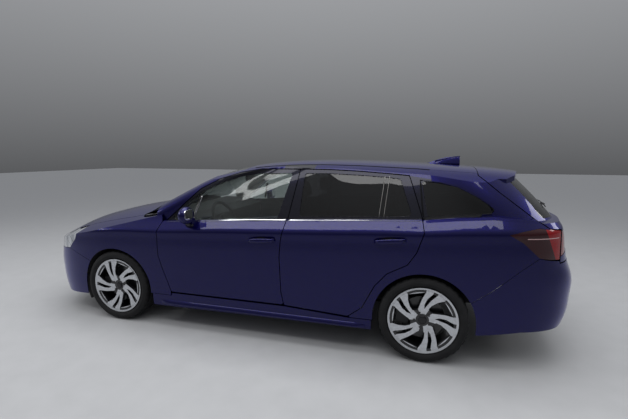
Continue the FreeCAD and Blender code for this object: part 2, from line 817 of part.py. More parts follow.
POST_BAR_SHARES = [(0.13, 0.3), (0.13, 0.5), (0.15, 0.5), (0.15, 0.3)]
TAIL_BELT_SHARE = 1.1
TAIL_LIMIT_SHARE = 1.3
SPOILER_PLAN_SHARES = [
    (1.324, -0.05), (1.324, 0.62), (1.43, 0.655), (1.5, 0.635), (1.565, 0.54), (1.6, 0.4), (1.622, 0.2),
    (1.628, 0.0), (1.628, -0.05),
]
FIN_SHARES = [(1.06, 1.94), (1.067, 2.004), (1.2, 2.07), (1.252, 2.089), (1.256, 2.07), (1.243, 1.9)]
FIN_FRONT_SHARES = [(-0.01, 1.8), (0.024, 1.8), (0.018, 1.96), (0.003, 2.1), (-0.01, 2.1)]
BELT_STATIONS = [-1.2, -0.5, 0.0, 0.08, 0.16, 0.33, 0.5, 0.618, 0.75, 0.867, 0.989, 1.2, 1.398, 1.7, 2.2]
FRAME_REACH_SHARE = 0.06
DOOR_CORNER_SHARE = 0.02
SIDE_SLANT = 0.08
MIDDLE_SLANT = 0.26
REAR_SLANT = 0.31


def below_line(drop):
    """The space of the left half below the belt line, less a drop."""
    points = [Vector(along(s), -2 * Size.half_width, belt_z(s) - drop) for s in BELT_STATIONS]
    feet = [Vector(points[-1].x, points[0].y, 0), Vector(points[0].x, points[0].y, 0)]
    face = Part.Face(Part.makePolygon(points + feet + [points[0]]))
    return face.extrude(Vector(0, 3 * Size.half_width, 0))


def behind(top, foot, slant, offset):
    """The space behind a plane through two side points, leaned so that its inner end is forward."""
    points = []
    for s, t in (top, foot):
        points.append(Vector(along(s), -glass_y(along(s), up(t)), up(t)))
    lean = Vector(-slant, 1, 0)
    normal = (points[0] - points[1]).cross(lean)
    if normal.x < 0:
        normal = normal * -1
    normal.normalize()
    rise = points[0] - points[1]
    rise.normalize()
    lean.normalize()
    centre = points[1] + normal * offset
    corners = [centre + rise * a + lean * b for a, b in ((-FAR, -FAR), (FAR, -FAR), (FAR, FAR), (-FAR, FAR))]
    return Part.Face(Part.makePolygon(corners + [corners[0]])).extrude(normal * FAR)


CORNER = DOOR_CORNER_SHARE * Size.belt_height
FRAME_REACH = FRAME_REACH_SHARE * Size.belt_height
BELOW_BELT = below_line(0.0)
BELOW_FRAME = below_line(FRAME_REACH)
MIDDLE_TOP, MIDDLE_FOOT = (0.632, 1.853), (0.611, 1.013)
REAR_TOP, REAR_FOOT = (0.951, 1.764), (0.991, 1.103)
FORMS = {}


def green_form(depth=0.0):
    """Glass and roof form, moved in by a depth."""
    key = ("green form", depth)
    if key not in FORMS:
        FORMS[key] = body("green", depth).common(body("roof", depth))
    return FORMS[key]


def front_form(depth=0.0):
    """Nose, hood and fender form, moved in by a depth."""
    key = ("front form", depth)
    if key not in FORMS:
        FORMS[key] = body("lower", depth).common(body("deck", depth))
    return FORMS[key]


def wheel_space(x, radius, inner):
    """The round space for a wheel in the left half, from a distance out to beyond the side."""
    reach = 2 * Size.half_width
    centre = Vector(x, -reach, Size.hub_height - Size.arch_drop)
    drum = Part.makeCylinder(radius, reach - inner, centre, Vector(0, 1, 0))
    below = block(x - radius, x + radius, -reach, -inner, 0.0, centre.z)
    return drum.fuse(below).removeSplitter()


ARCHES = wheel_space(FRONT_AXLE_X, Size.arch_radius, 0.0).fuse(
    wheel_space(REAR_AXLE_X, Size.arch_radius, 0.0)
)
HALF_GAP = Size.shut_gap / 2
SLIM = Size.panel_gap / 2


# Doors and their glass, for the left side.


def door_lower(shares):
    cutter = side_prism(shares, CORNER, -HALF_GAP, SIDE_SLANT)
    slab = body("lower").common(cutter).common(BELOW_BELT)
    return slab.cut(inboard("lower", Size.door_wall))


def frame_wall(shares, door_shares):
    """A door's window frame: a flange that runs down into the door and up to the roof's edge."""
    flange = green_form().common(side_prism(shares, 0.0, -Size.frame_gap / 2))
    flange = flange.cut(inboard("green", Size.frame_wall)).cut(BELOW_FRAME)
    flange = flange.cut(plan_prism(ROOF_PLAN_SHARES, 0.0, Size.panel_gap))
    return flange.cut(BELOW_BELT.cut(side_prism(door_shares, CORNER, -HALF_GAP, SIDE_SLANT)))


def window_glass(shares):
    cutter = side_prism(shares, CORNER, -Size.seat_gap)
    pane = green_form(Size.glass_setback).common(cutter)
    return pane.cut(green_form(Size.glass_setback + Size.glass))


front_frame = frame_wall(FRONT_FRAME_SHARES, FRONT_DOOR_SHARES)
front_frame = front_frame.cut(behind(MIDDLE_TOP, MIDDLE_FOOT, MIDDLE_SLANT, -HALF_GAP))
front_frame = front_frame.cut(side_prism(FRONT_WINDOW_SHARES, CORNER))
rear_frame = frame_wall(REAR_FRAME_SHARES, REAR_DOOR_SHARES)
rear_frame = rear_frame.common(behind(MIDDLE_TOP, MIDDLE_FOOT, MIDDLE_SLANT, HALF_GAP))
rear_frame = rear_frame.cut(behind(REAR_TOP, REAR_FOOT, REAR_SLANT, -HALF_GAP))
rear_frame = rear_frame.cut(side_prism(REAR_WINDOW_SHARES, CORNER))



def hinge_rod(back, radius, height, half_length):
    """A short upright cylinder on a door's hinge axis."""
    foot = Vector(FRONT_AXLE_X + back, Size.hinge_inset - Size.half_width, height - half_length)
    return Part.makeCylinder(radius, 2 * half_length, foot)


def hinge_arms(back, reach):
    """The pins of a door's two hinges with the arms that carry them from the pillar."""
    x = FRONT_AXLE_X + back
    y = Size.hinge_inset - Size.half_width
    tall = Size.hinge_arm_half_height
    pieces = []
    for height in [up(share) for share in HINGE_HEIGHT_SHARES]:
        pieces.append(block(x - Size.hinge_arm, x + Size.hinge_arm, y, y + reach, height - tall, height + tall))
        pieces.append(hinge_rod(back, Size.hinge_arm, height, tall))
        pieces.append(hinge_rod(back, Size.hinge_pin_radius, height, Size.hinge_pin_half))
    return pieces


def hinge_pockets(back):
    """The room that a door leaves for its hinge arms, and the bores for their pins."""
    x = FRONT_AXLE_X + back
    y = Size.hinge_inset - Size.half_width
    room = Size.hinge_arm + Size.thrust_gap
    tall = Size.hinge_arm_half_height + Size.disc_clearance
    pieces = []
    for height in [up(share) for share in HINGE_HEIGHT_SHARES]:
        pieces.append(block(x - Size.hinge_reach, x + room, y - room, 0.0, height - tall, height + tall))
        bore = Size.hinge_pin_radius + Size.running_gap
        pieces.append(hinge_rod(back, bore, height, Size.hinge_pin_half + Size.thrust_gap))
    return pieces


front_door = keep_large(door_lower(FRONT_DOOR_SHARES).fuse(front_frame))
front_door = keep_large(front_door.cut(hinge_pockets(Size.front_hinge_back)))
rear_door = keep_large(door_lower(REAR_DOOR_SHARES).fuse(rear_frame))
rear_door = keep_large(rear_door.cut(hinge_pockets(Size.rear_hinge_back)))
front_glass = keep_large(window_glass(FRONT_WINDOW_SHARES))
rear_glass = keep_large(window_glass(REAR_WINDOW_SHARES))

for side, turn in (("left", lambda shape: shape), ("right", mirrored)):
    publish(f"door_front_{side}", turn(front_door))
    publish(f"door_rear_{side}", turn(rear_door))
    publish(f"glass_front_{side}", turn(front_glass))
    publish(f"glass_rear_{side}", turn(rear_glass))

# Openings that the panels leave for each other.

DOOR_SPACE = side_prism(FRONT_DOOR_SHARES, CORNER, HALF_GAP, SIDE_SLANT).fuse(
    side_prism(REAR_DOOR_SHARES, CORNER, HALF_GAP, SIDE_SLANT)
)
FRAME_SPACE = side_prism(FRONT_FRAME_SHARES, 0.0, Size.frame_gap / 2).fuse(
    side_prism(REAR_FRAME_SHARES, 0.0, Size.frame_gap / 2).cut(
        behind(REAR_TOP, REAR_FOOT, REAR_SLANT, HALF_GAP)
    )
)
TAILGATE_SPACE = side_prism(TAILGATE_SHARES, 0.0, HALF_GAP)
SCREEN_SPACE = front_prism(SCREEN_FRONT_SHARES).common(
    block(-FAR, along(ROOF_PLAN_SHARES[1][0]) + Size.panel_gap, -FAR, FAR, 0.0, FAR)
)
ROOF_SPACE = plan_prism(ROOF_PLAN_SHARES, 0.0, SLIM)
HOOD_SPACE = plan_prism(HOOD_PLAN_SHARES, 0.0, HALF_GAP)
TAIL_LAMP_SPACE = side_prism(TAIL_LAMP_SHARES)
HEAD_LAMP_SPACE = side_prism(HEAD_LAMP_SHARES, 0.0, SLIM).common(
    block(-FAR, 0.0, -FAR, -out(HEAD_LAMP_INNER_SHARE), 0.0, FAR)
)
FRONT_BUMPER_SPACE = side_prism(FRONT_BUMPER_SHARES, 0.0, SLIM)
REAR_BUMPER_SPACE = side_prism(REAR_BUMPER_SHARES, 0.0, SLIM)

# Body side: pillars, cant rail, sill and quarter panel.

frame_shell = green_form().cut(green_form(Size.pillar_wall)).cut(BELOW_FRAME)
FRAME_ZONE = block(along(FRAME_START_SHARE), along(QUARTER_END_SHARE), -FAR, 0.0, 0.0, FAR)
frame_shell = frame_shell.common(FRAME_ZONE)
for space in (FRAME_SPACE, TAILGATE_SPACE, SCREEN_SPACE, ROOF_SPACE):
    frame_shell = frame_shell.cut(space)
frame_shell = frame_shell.cut(side_prism(QUARTER_WINDOW_SHARES, CORNER))
frame_shell = keep_large(frame_shell.cut(DOOR_SPACE.common(below_line(-Size.shut_gap))), 0.05)

quarter_zone = body("lower").common(side_prism(QUARTER_SHARES)).common(BELOW_BELT)
quarter = quarter_zone.cut(body("lower", Size.skin))
for space in (DOOR_SPACE, TAILGATE_SPACE, TAIL_LAMP_SPACE, REAR_BUMPER_SPACE, ARCHES):
    quarter = quarter.cut(space)
quarter = keep_large(quarter, 0.05)
band = quarter_zone.cut(below_line(Size.belt_band)).cut(inboard("lower", Size.belt_shelf))
for space in (DOOR_SPACE, FRAME_SPACE, TAILGATE_SPACE, TAIL_LAMP_SPACE):
    band = band.cut(space)
band = keep_large(band, 0.05)
FLANGE_DEPTH = Size.frame_wall + Size.flange_gap
flange_zone = side_prism(FRONT_FRAME_SHARES, 0.0, Size.flange_lap).fuse(
    side_prism(REAR_FRAME_SHARES, 0.0, Size.flange_lap)
)
flange = inboard("green", Size.liner_inset).cut(FRAME_SPACE).fuse(inboard("green", FLANGE_DEPTH))
flange = flange.cut(inboard("green", FLANGE_DEPTH + Size.flange_wall)).common(flange_zone)
roof_edge = ROOF_SPACE.cut(body("roof", Size.roof_wall + Size.seat_gap))
for window in (FRONT_WINDOW_SHARES, REAR_WINDOW_SHARES, QUARTER_WINDOW_SHARES):
    flange = flange.cut(side_prism(window, CORNER))
for space in (SCREEN_SPACE, roof_edge, below_line(-Size.shut_gap)):
    flange = flange.cut(space)
flange = keep_large(flange.common(green_form()), 0.05)
POST_DEPTH = Size.door_wall + Size.hinge_depth * 2
POST_TOP = below_line(-Size.shut_gap - Size.flange_wall)
post_zone = inboard("lower", POST_DEPTH).cut(inboard("lower", POST_DEPTH + Size.post_wall))
pillar_lower = post_zone.common(POST_TOP).common(side_prism(B_LOWER_SHARES))
shelf = inboard("green", FLANGE_DEPTH).cut(inboard("lower", POST_DEPTH + Size.post_wall))
shelf = shelf.common(POST_TOP).cut(below_line(-Size.shut_gap)).common(side_prism(B_LOWER_SHARES))
post = post_zone.common(BELOW_BELT).common(side_prism(A_POST_SHARES))
wall = inboard("lower", Size.hinge_depth * 2).cut(inboard("lower", POST_DEPTH + Size.post_wall / 2))
wall = wall.common(side_prism(A_WALL_SHARES))
fender_seat = inboard("lower", Size.skin + Size.seat_gap).cut(inboard("lower", POST_DEPTH))
fender_seat = fender_seat.common(side_prism(FENDER_SEAT_SHARES))
sill = inboard("lower", Size.skirt_wall + Size.seat_gap).common(side_prism(SILL_SHARES))
sill = sill.cut(block(-FAR, FAR, -out(SILL_IN_SHARE), FAR, 0.0, FAR))
ARM_REACH = POST_DEPTH + Size.post_wall / 2
arms = hinge_arms(Size.front_hinge_back, ARM_REACH) + hinge_arms(Size.rear_hinge_back, ARM_REACH)
side_frame = frame_shell.fuse([quarter, band, flange, pillar_lower, shelf, post, wall, fender_seat, sill])
side_frame = side_frame.fuse(arms)
side_frame = keep_large(side_frame, 0.001)
publish("side_frame_left", side_frame)
publish("side_frame_right", mirrored(side_frame))
publish("quarter_glass", pair(keep_large(window_glass(QUARTER_WINDOW_SHARES))))

# Roof and windscreen.

roof = green_form().common(plan_prism(ROOF_PLAN_SHARES, 0.0, -SLIM)).cut(green_form(Size.roof_wall))
roof = roof.common(block(-FAR, FAR, -FAR, 0.0, up(1.5), FAR))
fin = side_prism(FIN_SHARES).common(block(-FAR, FAR, -Size.fin_half_width, 0.0, 0.0, FAR))
fin = fin.common(front_prism(FIN_FRONT_SHARES))
publish("roof_panel", whole(keep_large(roof.fuse(fin.cut(green_form(Size.roof_wall / 2))))))
screen = green_form(Size.fixed_glass_setback).common(
    front_prism(SCREEN_FRONT_SHARES, 0.0, -Size.seat_gap)
)
screen = screen.cut(green_form(Size.fixed_glass_setback + Size.glass))
screen = screen.common(block(-FAR, along(ROOF_PLAN_SHARES[1][0]) - Size.panel_gap, -FAR, 0.0, up(0.99), FAR))
publish("windscreen", whole(keep_large(screen)))

# Hood, fenders, headlamps and bumpers.

hood = front_form().common(plan_prism(HOOD_PLAN_SHARES, 0.0, -HALF_GAP)).cut(body("deck", Size.hood_wall))
hood = hood.cut(side_prism(HEAD_LAMP_SHARES, 0.0, SLIM)).cut(FRONT_BUMPER_SPACE)
hood = hood.cut(body("green", -Size.shut_gap))
publish("hood", whole(keep_large(hood)))

nose_shell = front_form().cut(front_form(Size.skin))
fender = nose_shell.common(side_prism(FENDER_SHARES))
COWL_SPACE = block(along(COWL_START_SHARE), FAR, -out(COWL_OUT_SHARE) - Size.panel_gap, FAR, 0.0, FAR)
for space in (HOOD_SPACE, DOOR_SPACE, FRONT_BUMPER_SPACE, HEAD_LAMP_SPACE, ARCHES, COWL_SPACE):
    fender = fender.cut(space)
fender = fender.cut(body("green", -Size.panel_gap))
fender = keep_large(fender, 0.05)
publish("front_fenders", pair(fender))

COWL_ZONE = block(along(COWL_START_SHARE), along(COWL_END_SHARE), -out(COWL_OUT_SHARE), 0.0, 0.0, FAR)
cowl = front_form().common(COWL_ZONE).cut(HOOD_SPACE).cut(body("deck", Size.cowl_depth))
cowl = cowl.cut(body("green", Size.fixed_glass_setback - Size.seat_gap))
publish("cowl", whole(keep_large(cowl)))

lamp_side = side_prism(HEAD_LAMP_SHARES, 0.0, -SLIM)
lamp = front_form(Size.fixed_glass_setback).common(lamp_side).cut(HOOD_SPACE)
lamp = lamp.common(block(-FAR, 0.0, -FAR, -out(HEAD_LAMP_INNER_SHARE) - Size.panel_gap, 0.0, FAR))
lamp = lamp.cut(shifted("lower", Size.lamp_depth, Size.lamp_inset))
publish("headlamps", pair(keep_large(lamp)))

bumper = front_form().common(side_prism(FRONT_BUMPER_SHARES, 0.0, -SLIM)).cut(front_form(Size.bumper_wall))
for space in (HOOD_SPACE, HEAD_LAMP_SPACE, ARCHES):
    bumper = bumper.cut(space)
nose_limit = block(-FAR, along(NOSE_LIMIT_SHARE), -FAR, FAR, 0.0, FAR)
grille_space = front_prism(GRILLE_FRONT_SHARES).common(nose_limit)
intake_space = front_prism(INTAKE_FRONT_SHARES).common(nose_limit)
bumper = bumper.cut(grille_space).cut(intake_space)
publish("front_bumper", whole(keep_large(bumper)))

GRILLE_BARS = 6
INTAKE_BARS = 3
GRILLE_BACK = Size.bumper_wall + Size.grille_depth
zone = body("lower", Size.bumper_wall).cut(body("lower", GRILLE_BACK)).common(nose_limit)
bars = []
for outline, count in ((GRILLE_FRONT_SHARES, GRILLE_BARS), (INTAKE_FRONT_SHARES, INTAKE_BARS)):
    rim = front_prism(outline, 0.0, Size.grille_bar).cut(front_prism(outline, 0.0, -Size.grille_bar / 2))
    low = min(t for w, t in outline)
    high = max(t for w, t in outline)
    slats = [rim]
    for k in range(1, count + 1):
        z = up(low + (high - low) * k / (count + 1))
        slat = block(-FAR, 0.0, -FAR, FAR, z - Size.grille_bar / 2, z + Size.grille_bar / 2)
        slats.append(slat.common(front_prism(outline)))
    bars.append(zone.common(slats[0].fuse(slats[1:])))
grille = bars[0].fuse(bars[1])
post_bar = zone.common(front_prism(POST_BAR_SHARES))
grille = whole(grille.fuse(post_bar))
publish("grille", keep_large(grille, 0.001))

rear_bumper = body("lower").common(side_prism(REAR_BUMPER_SHARES, 0.0, -SLIM)).cut(body("lower", Size.bumper_wall))
for space in (TAIL_LAMP_SPACE, ARCHES):
    rear_bumper = rear_bumper.cut(space)
publish("rear_bumper", whole(keep_large(rear_bumper)))

skirt = body("lower").common(side_prism(SKIRT_SHARES, 0.0, -SLIM)).cut(inboard("lower", Size.skirt_wall))
publish("sill_skirts", pair(keep_large(skirt.cut(ARCHES))))

# Tailgate with its glass and lamps, and the fixed tail lamps.

gate_zone = side_prism(TAILGATE_SHARES, 0.0, -HALF_GAP)
above_ledge = block(-FAR, FAR, -FAR, 0.0, up(1.0), FAR)
gate_upper = green_form().cut(green_form(Size.tailgate_wall)).common(above_ledge)
spoiler = body("roof").common(plan_prism(SPOILER_PLAN_SHARES)).cut(body("roof", Size.spoiler_wall))
rear_wall = body("lower").cut(shifted("lower", -Size.tailgate_wall, 0.0))
rear_wall = rear_wall.common(block(0.0, FAR, -FAR, 0.0, 0.0, up(TAIL_BELT_SHARE)))
rear_wall = rear_wall.cut(body("green", Size.tailgate_wall))
ledge = body("lower").common(block(0.0, FAR, -FAR, 0.0, up(1.0), up(TAIL_BELT_SHARE)))
ledge = ledge.cut(body("green", Size.tailgate_wall))
tail_limit = block(along(TAIL_LIMIT_SHARE), FAR, -FAR, FAR, 0.0, FAR)
window_space = front_prism(REAR_WINDOW_TOP_SHARES, CORNER).common(tail_limit)
gate_lamp_space = side_prism(TAILGATE_LAMP_SHARES, 0.0, SLIM).common(
    block(0.0, FAR, -FAR, -out(TAILGATE_LAMP_INNER_SHARE), 0.0, FAR)
)
gate_lamp_space = gate_lamp_space.cut(shifted("lower", -Size.tailgate_wall / 2, 0.0))
gate = gate_upper.fuse([rear_wall, ledge]).common(gate_zone).cut(window_space)
gate = gate.fuse(spoiler.common(gate_zone).cut(window_space.common(green_form(Size.glass_setback))))
gate = gate.cut(gate_lamp_space)
publish("tailgate", whole(keep_large(gate)))
pane = green_form(Size.fixed_glass_setback).common(front_prism(REAR_WINDOW_TOP_SHARES, CORNER, -Size.seat_gap))
under_spoiler = body("roof", Size.spoiler_wall / 2).common(plan_prism(SPOILER_PLAN_SHARES))
pane = pane.common(tail_limit).cut(under_spoiler.cut(body("roof", Size.spoiler_wall + Size.seat_gap)))
pane = pane.cut(green_form(Size.fixed_glass_setback + Size.glass)).common(gate_zone)
publish("tailgate_glass", whole(keep_large(pane)))
gate_lamp = body("lower", Size.fixed_glass_setback).common(side_prism(TAILGATE_LAMP_SHARES, 0.0, -SLIM))
gate_lamp = gate_lamp.cut(shifted("lower", -Size.tailgate_wall / 2 + Size.seat_gap, 0.0))
gate_lamp = gate_lamp.common(block(0.0, FAR, -FAR, -out(TAILGATE_LAMP_INNER_SHARE) - Size.panel_gap, 0.0, FAR))
publish("tailgate_lamps", pair(keep_large(gate_lamp)))
tail_lamp = body("lower", Size.fixed_glass_setback).common(side_prism(TAIL_LAMP_SHARES, 0.0, -Size.seat_gap))
tail_lamp = tail_lamp.cut(shifted("lower", -Size.lamp_depth / 2, Size.lamp_inset / 2)).cut(TAILGATE_SPACE)
publish("taillamps", pair(keep_large(tail_lamp)))

# Stops, beams and the striker that carry the hood, the bumpers and the tailgate.

HOOD_STOP_SHARES = ((-0.845, -0.82), (0.34, 0.37), (0.65, 0.9))
FRONT_BEAM_SHARES = ((-1.0, -0.83), (0.2, 0.5), (0.385, 0.435))
REAR_BEAM_SHARES = ((1.85, 2.0), (0.0, 0.6), (0.45, 0.6))


def left_box(ranges):
    (s0, s1), (w0, w1), (t0, t1) = ranges
    return block(along(s0), along(s1), -out(w1), -out(w0), up(t0), up(t1))


front_carriers = doc.addObject("Part::Feature", "stops_and_front_beam")
front_carriers.Shape = Part.makeCompound([
    pair(left_box(HOOD_STOP_SHARES).common(body("deck", Size.hood_wall + Size.seat_gap))),
    pair(left_box(FRONT_BEAM_SHARES).common(body("lower", Size.bumper_wall + Size.seat_gap))),
])
rear_beam = doc.addObject("Part::Feature", "rear_bumper_beam")
rear_beam.Shape = whole(left_box(REAR_BEAM_SHARES).common(body("lower", Size.bumper_wall + Size.seat_gap)))

# Wheel houses and the shells under the body.


def wheel_house(x, inner):
    """A liner over one left wheel, open below."""
    radius = Size.arch_radius + Size.liner_gap
    shell = wheel_space(x, radius + Size.liner_wall, inner)
    shell = shell.cut(wheel_space(x, radius, inner + Size.liner_wall))
    shell = shell.common(inboard("lower", Size.liner_inset))
    return keep_large(shell.common(block(-FAR, FAR, -FAR, 0.0, up(LINER_FOOT_SHARE), FAR)))


LINER_FOOT_SHARE = 0.4
FRONT_HOUSE_IN_SHARE = 0.5506
REAR_HOUSE_IN_SHARE = 0.71
front_house = doc.addObject("Part::Feature", "front_wheel_houses")
front_house.Shape = pair(wheel_house(FRONT_AXLE_X, out(FRONT_HOUSE_IN_SHARE)))
publish("rear_wheel_houses", pair(wheel_house(REAR_AXLE_X, out(REAR_HOUSE_IN_SHARE))))

# Parts made as bodies with sketches and features.


def new_body(name):
    piece = doc.addObject("PartDesign::Body", name)
    piece.Label = name
    return piece


def new_sketch(piece, name, role):
    sketch = piece.newObject("Sketcher::SketchObject", name)
    plane = [feature for feature in piece.Origin.OriginFeatures if feature.Role == role][0]
    sketch.AttachmentSupport = [(plane, "")]
    sketch.MapMode = "FlatFace"
    return sketch


def pin_point(sketch, line, end, across, height):
    """Hold one end of a line by two formulas, or on an axis where the formula is zero."""
    for kind, axis, formula in (("DistanceX", -2, across), ("DistanceY", -1, height)):
        if formula == "0":
            sketch.addConstraint(Sketcher.Constraint("PointOnObject", line, end, axis))
            continue
        value = sketch.evalExpression(formula)
        index = sketch.addConstraint(Sketcher.Constraint(kind, -1, 1, line, end, float(value)))
        sketch.setExpression(f"Constraints[{index}]", formula)


def add_outline(sketch, formulas):
    """Draw a closed outline whose corners follow pairs of formulas."""
    places = [
        Vector(float(sketch.evalExpression(x)), float(sketch.evalExpression(y)), 0) for x, y in formulas
    ]
    count = len(places)
    first = sketch.GeometryCount
    for k in range(count):
        sketch.addGeometry(Part.LineSegment(places[k], places[(k + 1) % count]), False)
    for k in range(count):
        following = first + (k + 1) % count
        sketch.addConstraint(Sketcher.Constraint("Coincident", first + k, 2, following, 1))
    for k, (x, y) in enumerate(formulas):
        pin_point(sketch, first + k, 1, x, y)


def add_circle(sketch, x, y, radius):
    centre = Vector(float(sketch.evalExpression(x)), float(sketch.evalExpression(y)), 0)
    index = sketch.addGeometry(Part.Circle(centre, Vector(0, 0, 1), float(sketch.evalExpression(radius))), False)
    for kind, axis, formula in (("DistanceX", -2, x), ("DistanceY", -1, y)):
        if formula == "0":
            sketch.addConstraint(Sketcher.Constraint("PointOnObject", index, 3, axis))
        else:
            value = float(sketch.evalExpression(formula))
            number = sketch.addConstraint(Sketcher.Constraint(kind, -1, 1, index, 3, value))
            sketch.setExpression(f"Constraints[{number}]", formula)
    number = sketch.addConstraint(
        Sketcher.Constraint("Radius", index, float(sketch.evalExpression(radius)))
    )
    sketch.setExpression(f"Constraints[{number}]", radius)


def spin(piece, sketch, name):
    turn = piece.newObject("PartDesign::Revolution", name)
    turn.Profile = sketch
    turn.ReferenceAxis = (sketch, ["V_Axis"])
    turn.Angle = 360
    doc.recompute()
    return turn


def cut_through(piece, sketch, name):
    pocket = piece.newObject("PartDesign::Pocket", name)
    pocket.Profile = sketch
    pocket.Type = "ThroughAll"
    pocket.Midplane = True
    doc.recompute()
    return pocket


def repeat_round(piece, feature, name, copies):
    pattern = piece.newObject("PartDesign::PolarPattern", name)
    pattern.Originals = [feature]
    axis = [item for item in piece.Origin.OriginFeatures if item.Role == "Z_Axis"][0]
    pattern.Axis = (axis, [""])
    pattern.Angle = 360
    pattern.Occurrences = copies
    piece.Tip = pattern
    doc.recompute()
    return pattern


TYRE_FORMULAS = [
    ("Sizes.bead_radius", "Sizes.bead_half_width - Sizes.flange_width"),
    ("Sizes.flange_radius + Sizes.seat_gap * 3", "Sizes.bead_half_width - Sizes.flange_width"),
    ("Sizes.tyre_radius - Sizes.tyre_flank", "Sizes.tyre_width / 2"),
    ("Sizes.tyre_radius", "Sizes.tyre_width / 2 - Sizes.tyre_shoulder * 0.7"),
]


def other_side(formulas):
    """The same profile on the other side of the middle plane, in reverse order."""
    return [(x, f"-({y})") for x, y in reversed(formulas)]


def make_tyre(name):
    piece = new_body(name)
    sketch = new_sketch(piece, f"{name}_profile", "XZ_Plane")
    add_outline(sketch, TYRE_FORMULAS + other_side(TYRE_FORMULAS))
    spin(piece, sketch, f"{name}_ring")
    return piece


LIP = "Sizes.flange_half_width"
RIM_OUTER_FORMULAS = [
    ("Sizes.flange_radius", LIP),
    ("Sizes.flange_radius", f"{LIP} - Sizes.flange_width"),
    ("Sizes.bead_radius - Sizes.seat_gap", f"{LIP} - Sizes.flange_width"),
]
RIM_INNER_FORMULAS = [("Sizes.bead_radius - Sizes.barrel_wall", f"{LIP} - Sizes.flange_width * 1.1")]
FACE_FORMULAS = [
    ("Sizes.hub_bore_radius", "Sizes.hub_face_offset"),
    ("Sizes.stud_circle / 2 + Sizes.hub_bore_radius", "Sizes.hub_face_offset"),
    ("Sizes.disc_radius", f"{LIP} - Sizes.face_setback - Sizes.spoke_depth * 0.8"),
    ("Sizes.bead_radius - Sizes.barrel_wall / 2", f"{LIP} - Sizes.face_setback - Sizes.spoke_depth * 0.7"),
    ("Sizes.bead_radius - Sizes.barrel_wall / 2", f"{LIP} - Sizes.face_setback / 2"),
    ("Sizes.disc_radius", f"{LIP} - Sizes.face_setback"),
    ("Sizes.stud_circle / 2 + Sizes.hub_bore_radius", f"{LIP} - Sizes.face_setback - Sizes.flange_width / 2"),
    ("Sizes.stud_circle / 2", f"{LIP} - Sizes.face_setback * 1.5"),
    ("Sizes.hub_bore_radius", f"{LIP} - Sizes.face_setback * 1.5"),
]
# Window corners between the blades: radius as a share of the barrel, angle in degrees.
NARROW_WINDOW = [(0.4, 6), (0.55, 8), (0.75, 3), (0.985, -5), (0.985, -13), (0.75, -7), (0.5, 0)]
WIDE_WINDOW = [
    (0.44, -12), (0.6, -15), (0.8, -22), (0.985, -29), (0.985, -64), (0.75, -57), (0.55, -49), (0.42, -40),
    (0.38, -28),
]
BLADES = 5


def polar_formulas(corners):
    formulas = []
    for share, angle in corners:
        reach = f"(Sizes.barrel_radius * {share})"
        formulas.append((f"{reach} * cos({angle} deg)", f"{reach} * sin({angle} deg)"))
    return formulas


def make_rim(name):
    piece = new_body(name)
    barrel = new_sketch(piece, f"{name}_barrel", "XZ_Plane")
    outer = RIM_OUTER_FORMULAS + other_side(RIM_OUTER_FORMULAS)
    inner = RIM_INNER_FORMULAS + other_side(RIM_INNER_FORMULAS)
    add_outline(barrel, outer + [pair for pair in reversed(inner)])
    spin(piece, barrel, f"{name}_barrel_ring")
    face = new_sketch(piece, f"{name}_face", "XZ_Plane")
    add_outline(face, FACE_FORMULAS)
    spin(piece, face, f"{name}_face_disc")
    windows = new_sketch(piece, f"{name}_windows", "XY_Plane")
    add_outline(windows, polar_formulas(NARROW_WINDOW))
    add_outline(windows, polar_formulas(WIDE_WINDOW))
    add_circle(windows, "Sizes.stud_circle / 2 * cos(-36 deg)", "Sizes.stud_circle / 2 * sin(-36 deg)", "Sizes.stud_radius")
    openings = cut_through(piece, windows, f"{name}_openings")
    repeat_round(piece, openings, f"{name}_blades", BLADES)
    cap = new_sketch(piece, f"{name}_cap", "XZ_Plane")
    add_outline(cap, [
        ("0", "Sizes.hub_face_offset + Sizes.flange_width"),
        ("Sizes.hub_bore_radius + Sizes.seat_gap", "Sizes.hub_face_offset + Sizes.flange_width"),
        ("Sizes.hub_bore_radius + Sizes.seat_gap", f"{LIP} - Sizes.face_setback - Sizes.flange_width / 2"),
        ("0", f"{LIP} - Sizes.face_setback"),
    ])
    spin(piece, cap, f"{name}_centre")
    disc = new_sketch(piece, f"{name}_brake", "XZ_Plane")
    hat = "Sizes.stud_circle / 2 + Sizes.stud_radius * 2"
    add_outline(disc, [
        ("Sizes.hub_bore_radius", "Sizes.hub_face_offset"),
        (hat, "Sizes.hub_face_offset"),
        (hat, "Sizes.disc_offset"),
        ("Sizes.disc_radius", "Sizes.disc_offset"),
        ("Sizes.disc_radius", "Sizes.disc_offset - Sizes.disc_width"),
        (f"{hat} - Sizes.barrel_wall", "Sizes.disc_offset - Sizes.disc_width"),
        (f"{hat} - Sizes.barrel_wall", "Sizes.hub_face_offset - Sizes.barrel_wall"),
        ("Sizes.hub_bore_radius", "Sizes.hub_face_offset - Sizes.barrel_wall"),
    ])
    spin(piece, disc, f"{name}_brake_disc")
    return piece


FRONT_AXLE = "((Sizes.front_overhang - Sizes.rear_overhang - Sizes.wheelbase) / 2)"
REAR_AXLE = f"({FRONT_AXLE} + Sizes.wheelbase)"
HUB = "Sizes.hub_height"
WHEELS = [
    ("front_left", FRONT_AXLE, "-Sizes.track_front / 2", 90, -26),
    ("front_right", FRONT_AXLE, "Sizes.track_front / 2", -90, 40),
    ("rear_left", REAR_AXLE, "-Sizes.track_rear / 2", 90, 5),
    ("rear_right", REAR_AXLE, "Sizes.track_rear / 2", -90, 25),
]
NODES = {}


def node(item):
    """Hand one finished object in under its own label."""
    item.Label = item.Name
    NODES[item.Label] = item
    return item


def place_at(item, x, y, z):
    for letter, formula in (("x", x), ("y", y), ("z", z)):
        if formula != "0":
            item.setExpression(f"Placement.Base.{letter}", formula)


